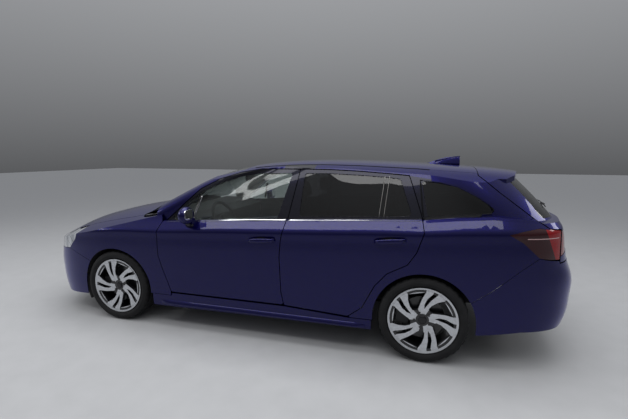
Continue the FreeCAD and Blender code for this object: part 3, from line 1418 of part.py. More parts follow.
for name, x, y, lay, turn in WHEELS:
    tilt = Rotation(Vector(1, 0, 0), lay).multiply(Rotation(Vector(0, 0, 1), turn))
    for piece in (make_tyre(f"tyre_{name}"), make_rim(f"rim_{name}")):
        piece.Placement = Placement(Vector(), tilt)
        place_at(piece, x, y, HUB)
        node(piece)
doc.recompute()

# Pieces made of primitives that follow the sheet.


def x_at(share):
    return f"({FRONT_AXLE} + {share} * Sizes.wheelbase)"


def y_at(share):
    return f"({share} * Sizes.half_width)"


def z_at(share):
    return f"({share} * Sizes.belt_height)"


def plus(base, *terms):
    return "(" + " + ".join([base, *terms]) + ")"


def less(base, *terms):
    return "(" + " - ".join([base, *terms]) + ")"


def bound_box(name, xs, ys, zs):
    item = doc.addObject("Part::Box", name)
    for letter, length, (start, end) in (("x", "Length", xs), ("y", "Width", ys), ("z", "Height", zs)):
        item.setExpression(length, f"{end} - {start}")
        item.setExpression(f"Placement.Base.{letter}", start)
    return item


def share_box(name, xs, ys, zs):
    return bound_box(name, [x_at(s) for s in xs], [y_at(s) for s in ys], [z_at(s) for s in zs])


DIRECTIONS = {
    "x": Rotation(Vector(0, 1, 0), 90),
    "y": Rotation(Vector(1, 0, 0), -90),
    "z": Rotation(),
}


def bound_rod(name, direction, start, end, radius, first, second):
    """A cylinder along one direction from start to end, at two other coordinates in order."""
    item = doc.addObject("Part::Cylinder", name)
    item.Placement = Placement(Vector(), DIRECTIONS[direction])
    item.setExpression("Radius", radius)
    item.setExpression("Height", f"{end} - {start}")
    values = {direction: start}
    for letter, formula in zip([c for c in "xyz" if c != direction], (first, second)):
        values[letter] = formula
    place_at(item, values["x"], values["y"], values["z"])
    return item


def joined(name, items):
    item = doc.addObject("Part::MultiFuse", name)
    item.Shapes = items
    item.Refine = True
    return item


def minus(name, base, tool):
    item = doc.addObject("Part::Cut", name)
    item.Base = base
    item.Tool = tool
    item.Refine = True
    return item


def mirror_of(name, source):
    item = doc.addObject("Part::Mirroring", name)
    item.Source = source
    item.Normal = Vector(0, 1, 0)
    return item


def both(name, item):
    """The left piece and its mirror image as one object."""
    group = doc.addObject("Part::Compound", name)
    group.Links = [item, mirror_of(f"{name}_other", item)]
    return group


def carrier(name, axle, track):
    """Upright, bearing, spindle and caliper of the left wheel."""
    centre = f"(-{track} / 2)"
    upright = bound_box(
        f"{name}_upright",
        (less(axle, "Sizes.upright_half_length"), plus(axle, "Sizes.upright_half_length")),
        (plus(centre, "Sizes.upright_outer"), plus(centre, "Sizes.upright_inner")),
        (less(HUB, "Sizes.upright_drop"), plus(HUB, "Sizes.upright_rise")),
    )
    bearing = bound_rod(
        f"{name}_bearing", "y", less(centre, "Sizes.bearing_reach"), plus(centre, "Sizes.upright_outer"),
        "Sizes.bearing_radius", axle, HUB,
    )
    spindle = bound_rod(
        f"{name}_spindle", "y", less(centre, "Sizes.spindle_reach"), centre,
        "Sizes.hub_bore_radius - Sizes.running_gap", axle, HUB,
    )
    jaw = bound_box(
        f"{name}_jaw",
        (less(axle, "Sizes.caliper_outer"), less(axle, "Sizes.caliper_inner")),
        (less(centre, "Sizes.caliper_outboard"), plus(centre, "Sizes.caliper_inboard")),
        (less(HUB, "Sizes.caliper_half_height"), plus(HUB, "Sizes.caliper_half_height")),
    )
    slot = bound_rod(
        f"{name}_slot", "y", less(centre, "Sizes.caliper_slot"), centre,
        "Sizes.disc_radius + Sizes.disc_clearance", axle, HUB,
    )
    caliper = minus(f"{name}_caliper", jaw, slot)
    bracket = bound_box(
        f"{name}_bracket",
        (less(axle, "Sizes.caliper_inner", "Sizes.caliper_inboard"), axle),
        (plus(centre, "Sizes.disc_clearance"), plus(centre, "Sizes.upright_outer")),
        (less(HUB, "Sizes.bracket_half_height"), plus(HUB, "Sizes.bracket_half_height")),
    )
    return [upright, bearing, spindle, caliper, bracket]


KINGPIN = "(-Sizes.track_front / 2 + Sizes.kingpin_offset)"
LOWER_ARM_TOP = "(Sizes.hub_height - Sizes.upright_drop - Sizes.thrust_gap)"
UPPER_ARM_FOOT = "(Sizes.hub_height + Sizes.upright_rise + Sizes.thrust_gap)"
knuckle_solid = joined("knuckle_solid", carrier("front", FRONT_AXLE, "Sizes.track_front"))
PIN_BORE = "Sizes.pin_radius + Sizes.running_gap"
LOWER_BORE_ZS = (LOWER_ARM_TOP, plus(LOWER_ARM_TOP, "Sizes.pin_bore_length"))
UPPER_BORE_ZS = (less(UPPER_ARM_FOOT, "Sizes.pin_bore_length"), UPPER_ARM_FOOT)
lower_bore = bound_rod("lower_bore", "z", *LOWER_BORE_ZS, PIN_BORE, FRONT_AXLE, KINGPIN)
upper_bore = bound_rod("upper_bore", "z", *UPPER_BORE_ZS, PIN_BORE, FRONT_AXLE, KINGPIN)
knuckle = node(minus("knuckle_front_left", knuckle_solid, joined("pin_bores", [lower_bore, upper_bore])))
node(mirror_of("knuckle_front_right", knuckle))

ARM_XS = (less(FRONT_AXLE, "Sizes.arm_half_width"), plus(FRONT_AXLE, "Sizes.arm_half_width"))
LOWER_ZS = (less(LOWER_ARM_TOP, "Sizes.arm_thickness"), LOWER_ARM_TOP)
UPPER_ZS = (UPPER_ARM_FOOT, plus(UPPER_ARM_FOOT, "Sizes.arm_thickness"))
LOWER_PIN_ZS = (LOWER_ARM_TOP, plus(LOWER_ARM_TOP, "Sizes.pin_length"))
UPPER_PIN_ZS = (less(UPPER_ARM_FOOT, "Sizes.pin_length"), UPPER_ARM_FOOT)
STRUT_Y = y_at(-0.63)
HOUSE_Y = less(y_at(-FRONT_HOUSE_IN_SHARE), "Sizes.liner_wall")
half_axle = [
    bound_box("lower_arm", ARM_XS, (KINGPIN, y_at(-0.4)), LOWER_ZS),
    bound_rod("lower_arm_end", "z", *LOWER_ZS, "Sizes.arm_end_radius", FRONT_AXLE, KINGPIN),
    bound_rod("lower_pin", "z", *LOWER_PIN_ZS, "Sizes.pin_radius", FRONT_AXLE, KINGPIN),
    bound_box("upper_arm", ARM_XS, (KINGPIN, HOUSE_Y), UPPER_ZS),
    bound_rod("upper_arm_end", "z", *UPPER_ZS, "Sizes.arm_end_radius", FRONT_AXLE, KINGPIN),
    bound_rod("upper_pin", "z", *UPPER_PIN_ZS, "Sizes.pin_radius", FRONT_AXLE, KINGPIN),
    bound_rod("strut", "z", LOWER_ZS[0], z_at(0.668), "Sizes.strut_radius", FRONT_AXLE, STRUT_Y),
    share_box("subframe_side", (-0.034, 0.034), (-0.545, -0.4), (0.19, 0.25)),
    share_box("subframe_tower", (-0.023, 0.023), (-0.545, -0.478), (0.2, 0.38)),
]
left_links = joined("left_links", half_axle)
crossmember = share_box("crossmember", (-0.034, 0.034), (-0.45, 0.45), (0.19, 0.25))
rack = bound_rod("steering_rack", "y", y_at(-0.43), y_at(0.43), "Sizes.rod_radius", x_at(0.034), z_at(0.25))
node(joined("front_axle", [left_links, mirror_of("right_links", left_links), crossmember, rack]))

rear_carrier = joined("rear_carrier", carrier("rear", REAR_AXLE, "Sizes.track_rear"))
rear_spring = bound_rod("rear_spring", "z", HUB, z_at(0.585), "Sizes.spring_radius", REAR_AXLE, y_at(-0.61))
trailing_arm = share_box("trailing_arm", (0.85, 1.0), (-0.72, -0.66), (0.27, 0.34))
rear_half = joined("rear_half", [rear_carrier, rear_spring, trailing_arm])
BEAM_END = "(Sizes.track_rear / 2 - Sizes.upright_outer)"
beam = bound_rod("rear_beam", "y", f"(-{BEAM_END})", BEAM_END, "Sizes.beam_radius", REAR_AXLE, HUB)
node(joined("rear_axle", [rear_half, mirror_of("rear_half_other", rear_half), beam]))

# Underbody, tank, engine and exhaust.

FIREWALL_SHARES = (0.162, 0.17)
RISER_SHARES = (0.684, 0.69)
REAR_PANEL_SHARES = (1.342, 1.35)
RADIATOR_XS = (x_at(-0.31), x_at(-0.295))
RADIATOR_Y = plus(y_at(HEAD_LAMP_INNER_SHARE), "Sizes.panel_gap")
bay_pieces = [
    share_box("firewall", FIREWALL_SHARES, (-0.735, 0.735), (0.205, 0.94)),
    share_box("left_rail", (-0.298, 0.165), (-FRONT_HOUSE_IN_SHARE, -0.475), (0.38, 0.48)),
    share_box("right_rail", (-0.298, 0.165), (0.475, FRONT_HOUSE_IN_SHARE), (0.38, 0.48)),
    bound_box("radiator", RADIATOR_XS, (f"(-{RADIATOR_Y})", RADIATOR_Y), (z_at(0.3), z_at(0.7))),
]
node(joined("engine_bay", bay_pieces + [front_house, front_carriers]))
FRONT_FLOOR_SHARES = (FIREWALL_SHARES[1], RISER_SHARES[0])
node(share_box("front_floor", FRONT_FLOOR_SHARES, (-SILL_IN_SHARE, SILL_IN_SHARE), (0.205, 0.23)))
rear_floor_pieces = [
    share_box("seat_riser", RISER_SHARES, (-0.7, 0.7), (0.205, 0.4)),
    share_box("seat_pan", (RISER_SHARES[0], 0.902), (-0.7, 0.7), (0.385, 0.4)),
    share_box("heel_wall", (0.896, 0.902), (-0.7, 0.7), (0.385, 0.6)),
    share_box("load_floor", (0.896, REAR_PANEL_SHARES[0]), (-REAR_HOUSE_IN_SHARE, REAR_HOUSE_IN_SHARE), (0.585, 0.6)),
    share_box("load_floor_wide", (1.145, 1.3), (-0.77, 0.77), (0.585, 0.6)),
]
node(joined("rear_floor", rear_floor_pieces))
rear_sheet = share_box("rear_sheet", REAR_PANEL_SHARES, (-0.66, 0.66), (0.36, 0.76))
striker = share_box("striker", (REAR_PANEL_SHARES[1], 1.375), (-0.05, 0.05), (0.73, 0.7779))
node(joined("rear_panel", [rear_sheet, striker, rear_beam]))
node(share_box("fuel_tank", (0.72, 0.88), (-0.55, 0.55), (0.21, 0.385)))
engine_block = share_box("engine_block", (-0.223, -0.019), (-0.37, 0.37), (0.25, 0.73))
engine_mounts = share_box("engine_mounts", (-0.14, -0.12), (-0.475, 0.475), (0.4, 0.44))
node(joined("engine", [engine_block, engine_mounts]))
PIPE_Y = y_at(0.17)
PIPE_Z = z_at(0.172)
exhaust_pieces = [
    bound_rod("exhaust_pipe", "x", x_at(0.05), x_at(1.2), "Sizes.pipe_radius", PIPE_Y, PIPE_Z),
    bound_rod("silencer", "y", y_at(0.1), y_at(0.6), "Sizes.silencer_radius", x_at(1.2), z_at(0.27)),
    bound_rod("tailpipe", "x", x_at(1.2), x_at(1.375), "Sizes.tailpipe_radius", y_at(0.5), z_at(0.235)),
    share_box("front_hanger", (0.3, 0.31), (0.16, 0.18), (0.18, 0.205)),
    share_box("middle_hanger", (0.6, 0.61), (0.16, 0.18), (0.18, 0.205)),
    share_box("rear_hanger", (1.2, 1.21), (0.3, 0.32), (0.33, 0.585)),
]
node(joined("exhaust", exhaust_pieces))

# Cabin.


def pad_outline(piece, name, shares, width):
    """Pad a side outline across the car by a width, half to each side."""
    sketch = new_sketch(piece, f"{name}_outline", "XZ_Plane")
    add_outline(sketch, [(x_at(s), z_at(t)) for s, t in shares])
    pad = piece.newObject("PartDesign::Pad", name)
    pad.Profile = sketch
    pad.Midplane = True
    pad.setExpression("Length", width)
    doc.recompute()
    return pad


SEAT_SHARES = [
    (0.362, 0.23), (0.358, 0.47), (0.374, 0.5), (0.517, 0.46), (0.592, 1.12), (0.634, 1.11), (0.574, 0.45),
    (0.547, 0.23),
]
HEADREST_SHARES = [(0.598, 1.1), (0.592, 1.27), (0.625, 1.285), (0.632, 1.1)]
BENCH_SHARES = [
    (0.68, 0.4), (0.675, 0.56), (0.694, 0.59), (0.849, 0.56), (0.896, 1.05), (0.93, 1.045), (0.89, 0.61),
    (0.864, 0.61), (0.86, 0.4),
]
DASH_SHARES = [
    (0.115, 0.985), (0.115, 0.95), (0.17, 0.95), (0.17, 0.64), (0.223, 0.56), (0.26, 0.64), (0.28, 0.8),
    (0.283, 0.93), (0.238, 0.975),
]
SEAT_Y = y_at(-0.416)
seat = new_body("front_seat")
pad_outline(seat, "seat_shell", SEAT_SHARES, "Sizes.seat_width")
pad_outline(seat, "seat_headrest", HEADREST_SHARES, "Sizes.headrest_width")
seat.setExpression("Placement.Base.y", SEAT_Y)
node(both("front_seats", seat))
bench = new_body("bench")
pad_outline(bench, "bench_shell", BENCH_SHARES, "Sizes.bench_width")
rests = [
    share_box(f"bench_headrest_{k}", (0.899, 0.928), (y - 0.13, y + 0.13), (1.02, 1.16))
    for k, y in enumerate((-0.44, 0.0, 0.44))
]
node(joined("rear_seat", [bench, *rests]))
dash = new_body("dash")
pad_outline(dash, "dash_shell", DASH_SHARES, "Sizes.dash_width")

STEER_TILT = 65
STEER_X, STEER_Z = x_at(0.313), z_at(0.89)
steer_turn = Rotation(Vector(0, 1, 0), STEER_TILT)


def tilted(item, distance):
    """Put an object on the steering axis at a distance along it, towards the driver."""
    item.Placement = Placement(Vector(), steer_turn)
    place_at(
        item,
        plus(STEER_X, f"{distance} * sin({STEER_TILT} deg)"),
        SEAT_Y,
        plus(STEER_Z, f"{distance} * cos({STEER_TILT} deg)"),
    )
    return item


def rod_on_axis(name, radius, length, start):
    item = doc.addObject("Part::Cylinder", name)
    item.setExpression("Radius", radius)
    item.setExpression("Height", length)
    return tilted(item, start)


HUB_FOOT = "(-Sizes.wheel_hub_half_depth)"
COLUMN_TOP = less(HUB_FOOT, "Sizes.thrust_gap")
COLUMN_FOOT = less(COLUMN_TOP, "Sizes.column_length")
column = rod_on_axis("column", "Sizes.column_radius", "Sizes.column_length", COLUMN_FOOT)
column_pin = rod_on_axis("column_pin", "Sizes.column_pin_radius", "Sizes.column_pin_length", COLUMN_TOP)
node(joined("dashboard", [dash, column, column_pin]))
node(share_box("centre_console", (0.285, 0.56), (-0.105, 0.105), (0.23, 0.47)))
ring = doc.addObject("Part::Torus", "steering_ring")
ring.setExpression("Radius1", "Sizes.wheel_ring_radius")
ring.setExpression("Radius2", "Sizes.wheel_grip_radius")
tilted(ring, "0")
boss = rod_on_axis("steering_boss", "Sizes.wheel_hub_radius", "Sizes.wheel_hub_half_depth * 2", HUB_FOOT)
spokes = []
for k, angle in enumerate((-90, 0, 90)):
    spoke = doc.addObject("Part::Box", f"steering_spoke_{k}")
    spoke.setExpression("Length", "Sizes.wheel_ring_radius")
    spoke.setExpression("Width", "Sizes.spoke_half_width * 2")
    spoke.setExpression("Height", "Sizes.spoke_half_depth * 2")
    offset = doc.addObject("Part::Compound", f"steering_arm_{k}")
    place_at(spoke, "0", "-Sizes.spoke_half_width", "-Sizes.spoke_half_depth")
    offset.Links = [spoke]
    offset.Placement = Placement(Vector(), steer_turn.multiply(Rotation(Vector(0, 0, 1), angle)))
    place_at(offset, STEER_X, SEAT_Y, STEER_Z)
    spokes.append(offset)
SOCKET_DEPTH = "Sizes.column_pin_length + Sizes.thrust_gap"
SOCKET_RADIUS = "Sizes.column_pin_radius + Sizes.running_gap"
socket = rod_on_axis("steering_socket", SOCKET_RADIUS, SOCKET_DEPTH, COLUMN_TOP)
node(minus("steering_wheel", joined("steering_solid", [ring, boss, *spokes]), socket))

# Mirrors on the front doors.

head = doc.addObject("Part::Ellipsoid", "mirror_head")
head.setExpression("Radius1", "Sizes.mirror_height")
head.setExpression("Radius2", "Sizes.mirror_length")
head.setExpression("Radius3", "Sizes.mirror_reach")
place_at(head, x_at(0.296), y_at(-1.035), z_at(1.008))
cut_box = share_box("mirror_cut", (0.307, 0.35), (-1.2, -0.8), (0.9, 1.15))
shell = minus("mirror_shell", head, cut_box)
foot = share_box("mirror_foot", (0.288, 0.304), (-0.985, -0.93), (0.93, 0.975))
doc.recompute()
foot_shape = foot.Shape.cut(front_door).cut(front_glass)
left_mirror = shell.Shape.fuse(foot_shape)
publish("mirror_left", left_mirror)
publish("mirror_right", mirrored(left_mirror))
doc.recompute()

for item in doc.Objects:
    if item.TypeId == "Part::Feature" and item not in (front_house, front_carriers, rear_beam):
        NODES[item.Label] = item
for item in doc.Objects:
    if "Invalid" in item.State or "Error" in item.State:
        raise RuntimeError(f"{item.Name} is in state {item.State}")
os.makedirs("parts", exist_ok=True)
for label, item in sorted(NODES.items()):
    shape = item.Shape
    if shape.isNull() or not shape.isValid() or not shape.Solids:
        raise RuntimeError(f"{label} has no valid solid")
    shape.exportStep(f"parts/{label}.step")
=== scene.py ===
import json
import math

import bmesh
import bpy
from mathutils import Matrix, Vector
from mathutils.bvhtree import BVHTree


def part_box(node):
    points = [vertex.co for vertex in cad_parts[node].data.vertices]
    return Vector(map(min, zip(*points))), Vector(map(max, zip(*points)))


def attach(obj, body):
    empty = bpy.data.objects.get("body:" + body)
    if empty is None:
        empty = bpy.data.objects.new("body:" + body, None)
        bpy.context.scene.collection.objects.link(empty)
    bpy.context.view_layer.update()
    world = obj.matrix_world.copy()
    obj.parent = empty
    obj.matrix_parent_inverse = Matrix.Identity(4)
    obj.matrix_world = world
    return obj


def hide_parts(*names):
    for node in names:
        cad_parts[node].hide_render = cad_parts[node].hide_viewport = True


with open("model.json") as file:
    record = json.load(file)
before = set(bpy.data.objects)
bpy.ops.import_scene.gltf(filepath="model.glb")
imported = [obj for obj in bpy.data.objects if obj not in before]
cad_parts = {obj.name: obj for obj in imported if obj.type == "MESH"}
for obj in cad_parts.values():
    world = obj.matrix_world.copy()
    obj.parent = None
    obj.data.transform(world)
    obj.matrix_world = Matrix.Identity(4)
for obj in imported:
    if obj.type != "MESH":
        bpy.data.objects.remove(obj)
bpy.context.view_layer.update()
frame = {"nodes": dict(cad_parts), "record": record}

# Metres, in the car's own frame: +X to the rear, +Y to the car's right, +Z up.

NODES = frame["nodes"]
FRONT_AXLE_X = -1.390
REAR_AXLE_X = 1.260
HUB_Z = 0.320
FRONT_WHEEL_Y = 0.765
REAR_WHEEL_Y = 0.770
SIDES = (("left", -1), ("right", 1))
BELT = [
    (-0.975, 0.928), (-0.880, 0.936), (-0.480, 0.962), (-0.070, 0.987), (0.250, 1.001), (0.560, 1.017),
    (0.908, 1.034), (1.230, 1.046), (1.500, 1.068), (1.700, 1.087),
]

WHEELS = {
    "front_left": (FRONT_AXLE_X, -FRONT_WHEEL_Y), "front_right": (FRONT_AXLE_X, FRONT_WHEEL_Y),
    "rear_left": (REAR_AXLE_X, -REAR_WHEEL_Y), "rear_right": (REAR_AXLE_X, REAR_WHEEL_Y),
}
RIM_TURNS = {"front_left": -26, "front_right": 40, "rear_left": 5, "rear_right": 25}
RIM_SHADES = ((8, 43, 0.2125, 0.2315), (59, 67, 0.2125, 0.2315), (35, 57, 0.046, 0.092))

# Materials.


def new_material(name):
    material = bpy.data.materials.new(name)
    material.use_nodes = True
    nodes = material.node_tree.nodes
    links = material.node_tree.links
    return material, nodes, links, nodes["Principled BSDF"]


def object_point(nodes):
    return nodes.new("ShaderNodeTexCoord").outputs["Object"]


def noise(nodes, links, vector, scale, detail=3.0):
    texture = nodes.new("ShaderNodeTexNoise")
    texture.inputs["Scale"].default_value = scale
    texture.inputs["Detail"].default_value = detail
    texture.inputs["Roughness"].default_value = 0.5
    links.new(vector, texture.inputs["Vector"])
    return texture.outputs["Fac"]


def ramp(nodes, links, fac, stops):
    node = nodes.new("ShaderNodeValToRGB")
    elements = node.color_ramp.elements
    while len(elements) < len(stops):
        elements.new(0.5)
    for element, (place, colour) in zip(elements, stops):
        element.position = place
        element.color = (*colour, 1.0)
    links.new(fac, node.inputs["Fac"])
    return node.outputs["Color"]


def spread(nodes, links, value, low, high):
    node = nodes.new("ShaderNodeMapRange")
    node.inputs["To Min"].default_value = low
    node.inputs["To Max"].default_value = high
    links.new(value, node.inputs["Value"])
    return node.outputs["Result"]


def bump(nodes, links, shader, height, strength, distance):
    node = nodes.new("ShaderNodeBump")
    node.inputs["Strength"].default_value = strength
    node.inputs["Distance"].default_value = distance
    links.new(height, node.inputs["Height"])
    links.new(node.outputs["Normal"], shader.inputs["Normal"])


def plain(name, colour, rough, metal=0.0, grain=400.0, grain_depth=0.0002, vary=0.12, coat=0.0, gloss=0.5):
    """A moulded or cast surface with slight colour variation and a fine grain."""
    material, nodes, links, shader = new_material(name)
    vector = object_point(nodes)
    patch = noise(nodes, links, vector, 6.0, 5.0)
    dark = tuple(c * (1 - vary) for c in colour)
    light = tuple(min(c * (1 + vary), 1.0) for c in colour)
    links.new(ramp(nodes, links, patch, [(0.3, dark), (0.7, light)]), shader.inputs["Base Color"])
    links.new(spread(nodes, links, patch, rough * 0.88, min(rough * 1.12, 1.0)), shader.inputs["Roughness"])
    shader.inputs["Metallic"].default_value = metal
    shader.inputs["Coat Weight"].default_value = coat
    shader.inputs["Coat Roughness"].default_value = 0.05
    shader.inputs["Specular IOR Level"].default_value = gloss
    if grain_depth:
        bump(nodes, links, shader, noise(nodes, links, vector, grain, 4.0), 0.35, grain_depth)
    return material


def belt_height(nodes, links, x_value):
    """The belt line's height above the ground at a place along the car, as a socket."""
    low, high = BELT[0][0], BELT[-1][0]
    share = nodes.new("ShaderNodeMapRange")
    share.inputs["From Min"].default_value = low
    share.inputs["From Max"].default_value = high
    links.new(x_value, share.inputs["Value"])
    curve = nodes.new("ShaderNodeFloatCurve")
    points = curve.mapping.curves[0].points
    while len(points) < len(BELT):
        points.new(0.5, 0.5)
    for point, (x, z) in zip(points, BELT):
        point.location = ((x - low) / (high - low), z - 0.6)
        point.handle_type = "VECTOR"
    curve.mapping.update()
    links.new(share.outputs["Result"], curve.inputs["Value"])
    add = nodes.new("ShaderNodeMath")
    add.operation = "ADD"
    add.inputs[1].default_value = 0.6
    links.new(curve.outputs["Value"], add.inputs[0])
    return add.outputs["Value"]


def compare(nodes, links, first, second, operation="GREATER_THAN"):
    node = nodes.new("ShaderNodeMath")
    node.operation = operation
    for place, item in ((0, first), (1, second)):
        if isinstance(item, (int, float)):
            node.inputs[place].default_value = item
        else:
            links.new(item, node.inputs[place])
    return node.outputs["Value"]


def either(nodes, links, first, second):
    return compare(nodes, links, first, second, "MAXIMUM")


def both_of(nodes, links, *masks):
    result = masks[0]
    for mask in masks[1:]:
        result = compare(nodes, links, result, mask, "MULTIPLY")
    return result


def between(nodes, links, value, low, high):
    above = compare(nodes, links, value, low)
    below = compare(nodes, links, value, high, "LESS_THAN")
    return both_of(nodes, links, above, below)


def line_value(nodes, links, value, start, slope):
    """start plus slope times a socket's value."""
    node = nodes.new("ShaderNodeMath")
    node.operation = "MULTIPLY_ADD"
    links.new(value, node.inputs[0])
    node.inputs[1].default_value = slope
    node.inputs[2].default_value = start
    return node.outputs["Value"]


def places(nodes, links, vector):
    """The point's place, its distance from the middle plane, and how far its face looks outward, up and back."""
    place = nodes.new("ShaderNodeSeparateXYZ")
    links.new(vector, place.inputs["Vector"])
    aside = nodes.new("ShaderNodeMath")
    aside.operation = "ABSOLUTE"
    links.new(place.outputs["Y"], aside.inputs[0])
    side = nodes.new("ShaderNodeMath")
    side.operation = "SIGN"
    links.new(place.outputs["Y"], side.inputs[0])
    geometry = nodes.new("ShaderNodeNewGeometry")
    facing = nodes.new("ShaderNodeSeparateXYZ")
    links.new(geometry.outputs["Normal"], facing.inputs["Vector"])
    outward = compare(nodes, links, facing.outputs["Y"], side.outputs["Value"], "MULTIPLY")
    return {
        "x": place.outputs["X"], "aside": aside.outputs["Value"], "z": place.outputs["Z"], "y": place.outputs["Y"],
        "outward": outward, "up": facing.outputs["Z"], "back": facing.outputs["X"],
    }


def blend_colour(nodes, links, mask, first, second):
    mix = nodes.new("ShaderNodeMix")
    mix.data_type = "RGBA"
    links.new(mask, mix.inputs["Factor"])
    for name, item in (("A", first), ("B", second)):
        if isinstance(item, tuple):
            mix.inputs[name].default_value = (*item, 1.0)
        else:
            links.new(item, mix.inputs[name])
    return mix.outputs["Result"]


def blend_value(nodes, links, mask, first, second):
    node = nodes.new("ShaderNodeMapRange")
    links.new(mask, node.inputs["Value"])
    for name, item in (("To Min", first), ("To Max", second)):
        if isinstance(item, float):
            node.inputs[name].default_value = item
        else:
            links.new(item, node.inputs[name])
    return node.outputs["Result"]


def make_body(name, layers=()):
    """Deep indigo metallic with fine flakes under a clear coat, and other finishes where a layer's mask is 1.

    A layer is a function that gives its mask, a colour, a roughness and a share of clear coat.
    """
    material, nodes, links, shader = new_material(name)
    vector = object_point(nodes)
    flakes = nodes.new("ShaderNodeTexVoronoi")
    flakes.inputs["Scale"].default_value = 1400.0
    links.new(vector, flakes.inputs["Vector"])
    grey = nodes.new("ShaderNodeRGBToBW")
    links.new(flakes.outputs["Color"], grey.inputs["Color"])
    colour = ramp(nodes, links, grey.outputs["Val"], [
        (0.0, (0.002, 0.002, 0.026)), (0.6, (0.004, 0.003, 0.058)), (1.0, (0.012, 0.010, 0.140)),
    ])
    rough = spread(nodes, links, noise(nodes, links, vector, 3.0), 0.26, 0.32)
    metal, coat = 0.75, 1.0
    found = places(nodes, links, vector)
    for mask_of, layer_colour, layer_rough, layer_coat in layers:
        mask = mask_of(nodes, links, found)
        grain = noise(nodes, links, vector, 40.0, 5.0)
        dark = tuple(c * 0.85 for c in layer_colour)
        shade = ramp(nodes, links, grain, [(0.3, dark), (0.7, layer_colour)])
        colour = blend_colour(nodes, links, mask, colour, shade)
        rough = blend_value(nodes, links, mask, rough, layer_rough)
        metal = blend_value(nodes, links, mask, metal, 0.0)
        coat = blend_value(nodes, links, mask, coat, layer_coat)
    for item, name in ((metal, "Metallic"), (coat, "Coat Weight")):
        if isinstance(item, float):
            shader.inputs[name].default_value = item
        else:
            links.new(item, shader.inputs[name])
    links.new(colour, shader.inputs["Base Color"])
    links.new(rough, shader.inputs["Roughness"])
    shader.inputs["Coat Roughness"].default_value = 0.03
    shader.inputs["Coat IOR"].default_value = 1.34
    shader.inputs["Specular IOR Level"].default_value = 0.12
    shader.inputs["Specular Tint"].default_value = (0.35, 0.35, 1.0, 1.0)
    return material


def above_belt(nodes, links, found):
    return compare(nodes, links, found["z"], belt_height(nodes, links, found["x"]))


def inner_side(nodes, links, found):
    return compare(nodes, links, found["outward"], -0.35, "LESS_THAN")


def inner_low(nodes, links, found):
    low = compare(nodes, links, found["z"], belt_height(nodes, links, found["x"]), "LESS_THAN")
    return both_of(nodes, links, inner_side(nodes, links, found), low)


def underside(nodes, links, found):
    return compare(nodes, links, found["up"], -0.30, "LESS_THAN")


def front_face(nodes, links, found):
    return compare(nodes, links, found["back"], -0.35, "LESS_THAN")


def black_pillars(nodes, links, found):
    """The middle pillar, the post behind the rear door and the edge of the quarter window."""
    above = above_belt(nodes, links, found)
    top = compare(nodes, links, found["z"], line_value(nodes, links, found["x"], 1.5180, -0.1533), "LESS_THAN")
    ahead = between(nodes, links, found["x"], 1.10, 1.285)
    middle = between(nodes, links, found["x"], 0.14, 0.40)
    post = both_of(nodes, links, ahead, top)
    return both_of(nodes, links, above, either(nodes, links, post, middle))


def make_glass(name, tint):
    """Window glass with a tint in its body and the faintest waviness."""
    material, nodes, links, shader = new_material(name)
    vector = object_point(nodes)
    patch = noise(nodes, links, vector, 2.0)
    light = tuple(min(c * 1.08, 1.0) for c in tint)
    links.new(ramp(nodes, links, patch, [(0.3, tint), (0.7, light)]), shader.inputs["Base Color"])
    shader.inputs["Transmission Weight"].default_value = 1.0
    shader.inputs["Roughness"].default_value = 0.0
    shader.inputs["IOR"].default_value = 1.45
    bump(nodes, links, shader, patch, 0.01, 0.0003)
    return material


def make_rim_metal(name, centre_x, turn, sign):
    """Machined faces on black. The dark gaps beside the blades widen towards the ring."""
    material, nodes, links, shader = new_material(name)
    vector = object_point(nodes)
    found = places(nodes, links, vector)
    across = line_value(nodes, links, found["x"], -centre_x, 1.0)
    upward = line_value(nodes, links, found["z"], -HUB_Z, 1.0)
    bearing = compare(nodes, links, upward, across, "ARCTAN2")
    local = line_value(nodes, links, bearing, -math.radians(turn), 1.0 if sign < 0 else -1.0)
    step = nodes.new("ShaderNodeMath")
    step.operation = "FLOORED_MODULO"
    links.new(local, step.inputs[0])
    step.inputs[1].default_value = math.radians(72)
    round_place = step.outputs["Value"]
    squares = both_of(nodes, links, across, across)
    radius = nodes.new("ShaderNodeMath")
    radius.operation = "SQRT"
    total = compare(nodes, links, squares, both_of(nodes, links, upward, upward), "ADD")
    links.new(total, radius.inputs[0])
    radius = radius.outputs["Value"]
    dark = between(nodes, links, radius, 0.0, 0.047)
    for low_angle, high_angle, low, high in RIM_SHADES:
        wedge = between(nodes, links, round_place, math.radians(low_angle), math.radians(high_angle))
        dark = either(nodes, links, dark, both_of(nodes, links, wedge, between(nodes, links, radius, low, high)))
    bare = compare(nodes, links, 1.0, dark, "SUBTRACT")
    outward = compare(nodes, links, found["outward"], 0.76)
    near_face = compare(nodes, links, found["aside"], 0.846)
    mask = both_of(nodes, links, outward, near_face, bare)
    brushed = noise(nodes, links, vector, 60.0, 6.0)
    machined = ramp(nodes, links, brushed, [(0.3, (0.50, 0.51, 0.54)), (0.7, (0.62, 0.64, 0.67))])
    links.new(blend_colour(nodes, links, mask, (0.010, 0.010, 0.012), machined), shader.inputs["Base Color"])
    links.new(spread(nodes, links, mask, 0.1, 0.80), shader.inputs["Metallic"])
    links.new(spread(nodes, links, mask, 0.28, 0.36), shader.inputs["Roughness"])
    shader.inputs["Coat Weight"].default_value = 0.4
    return material


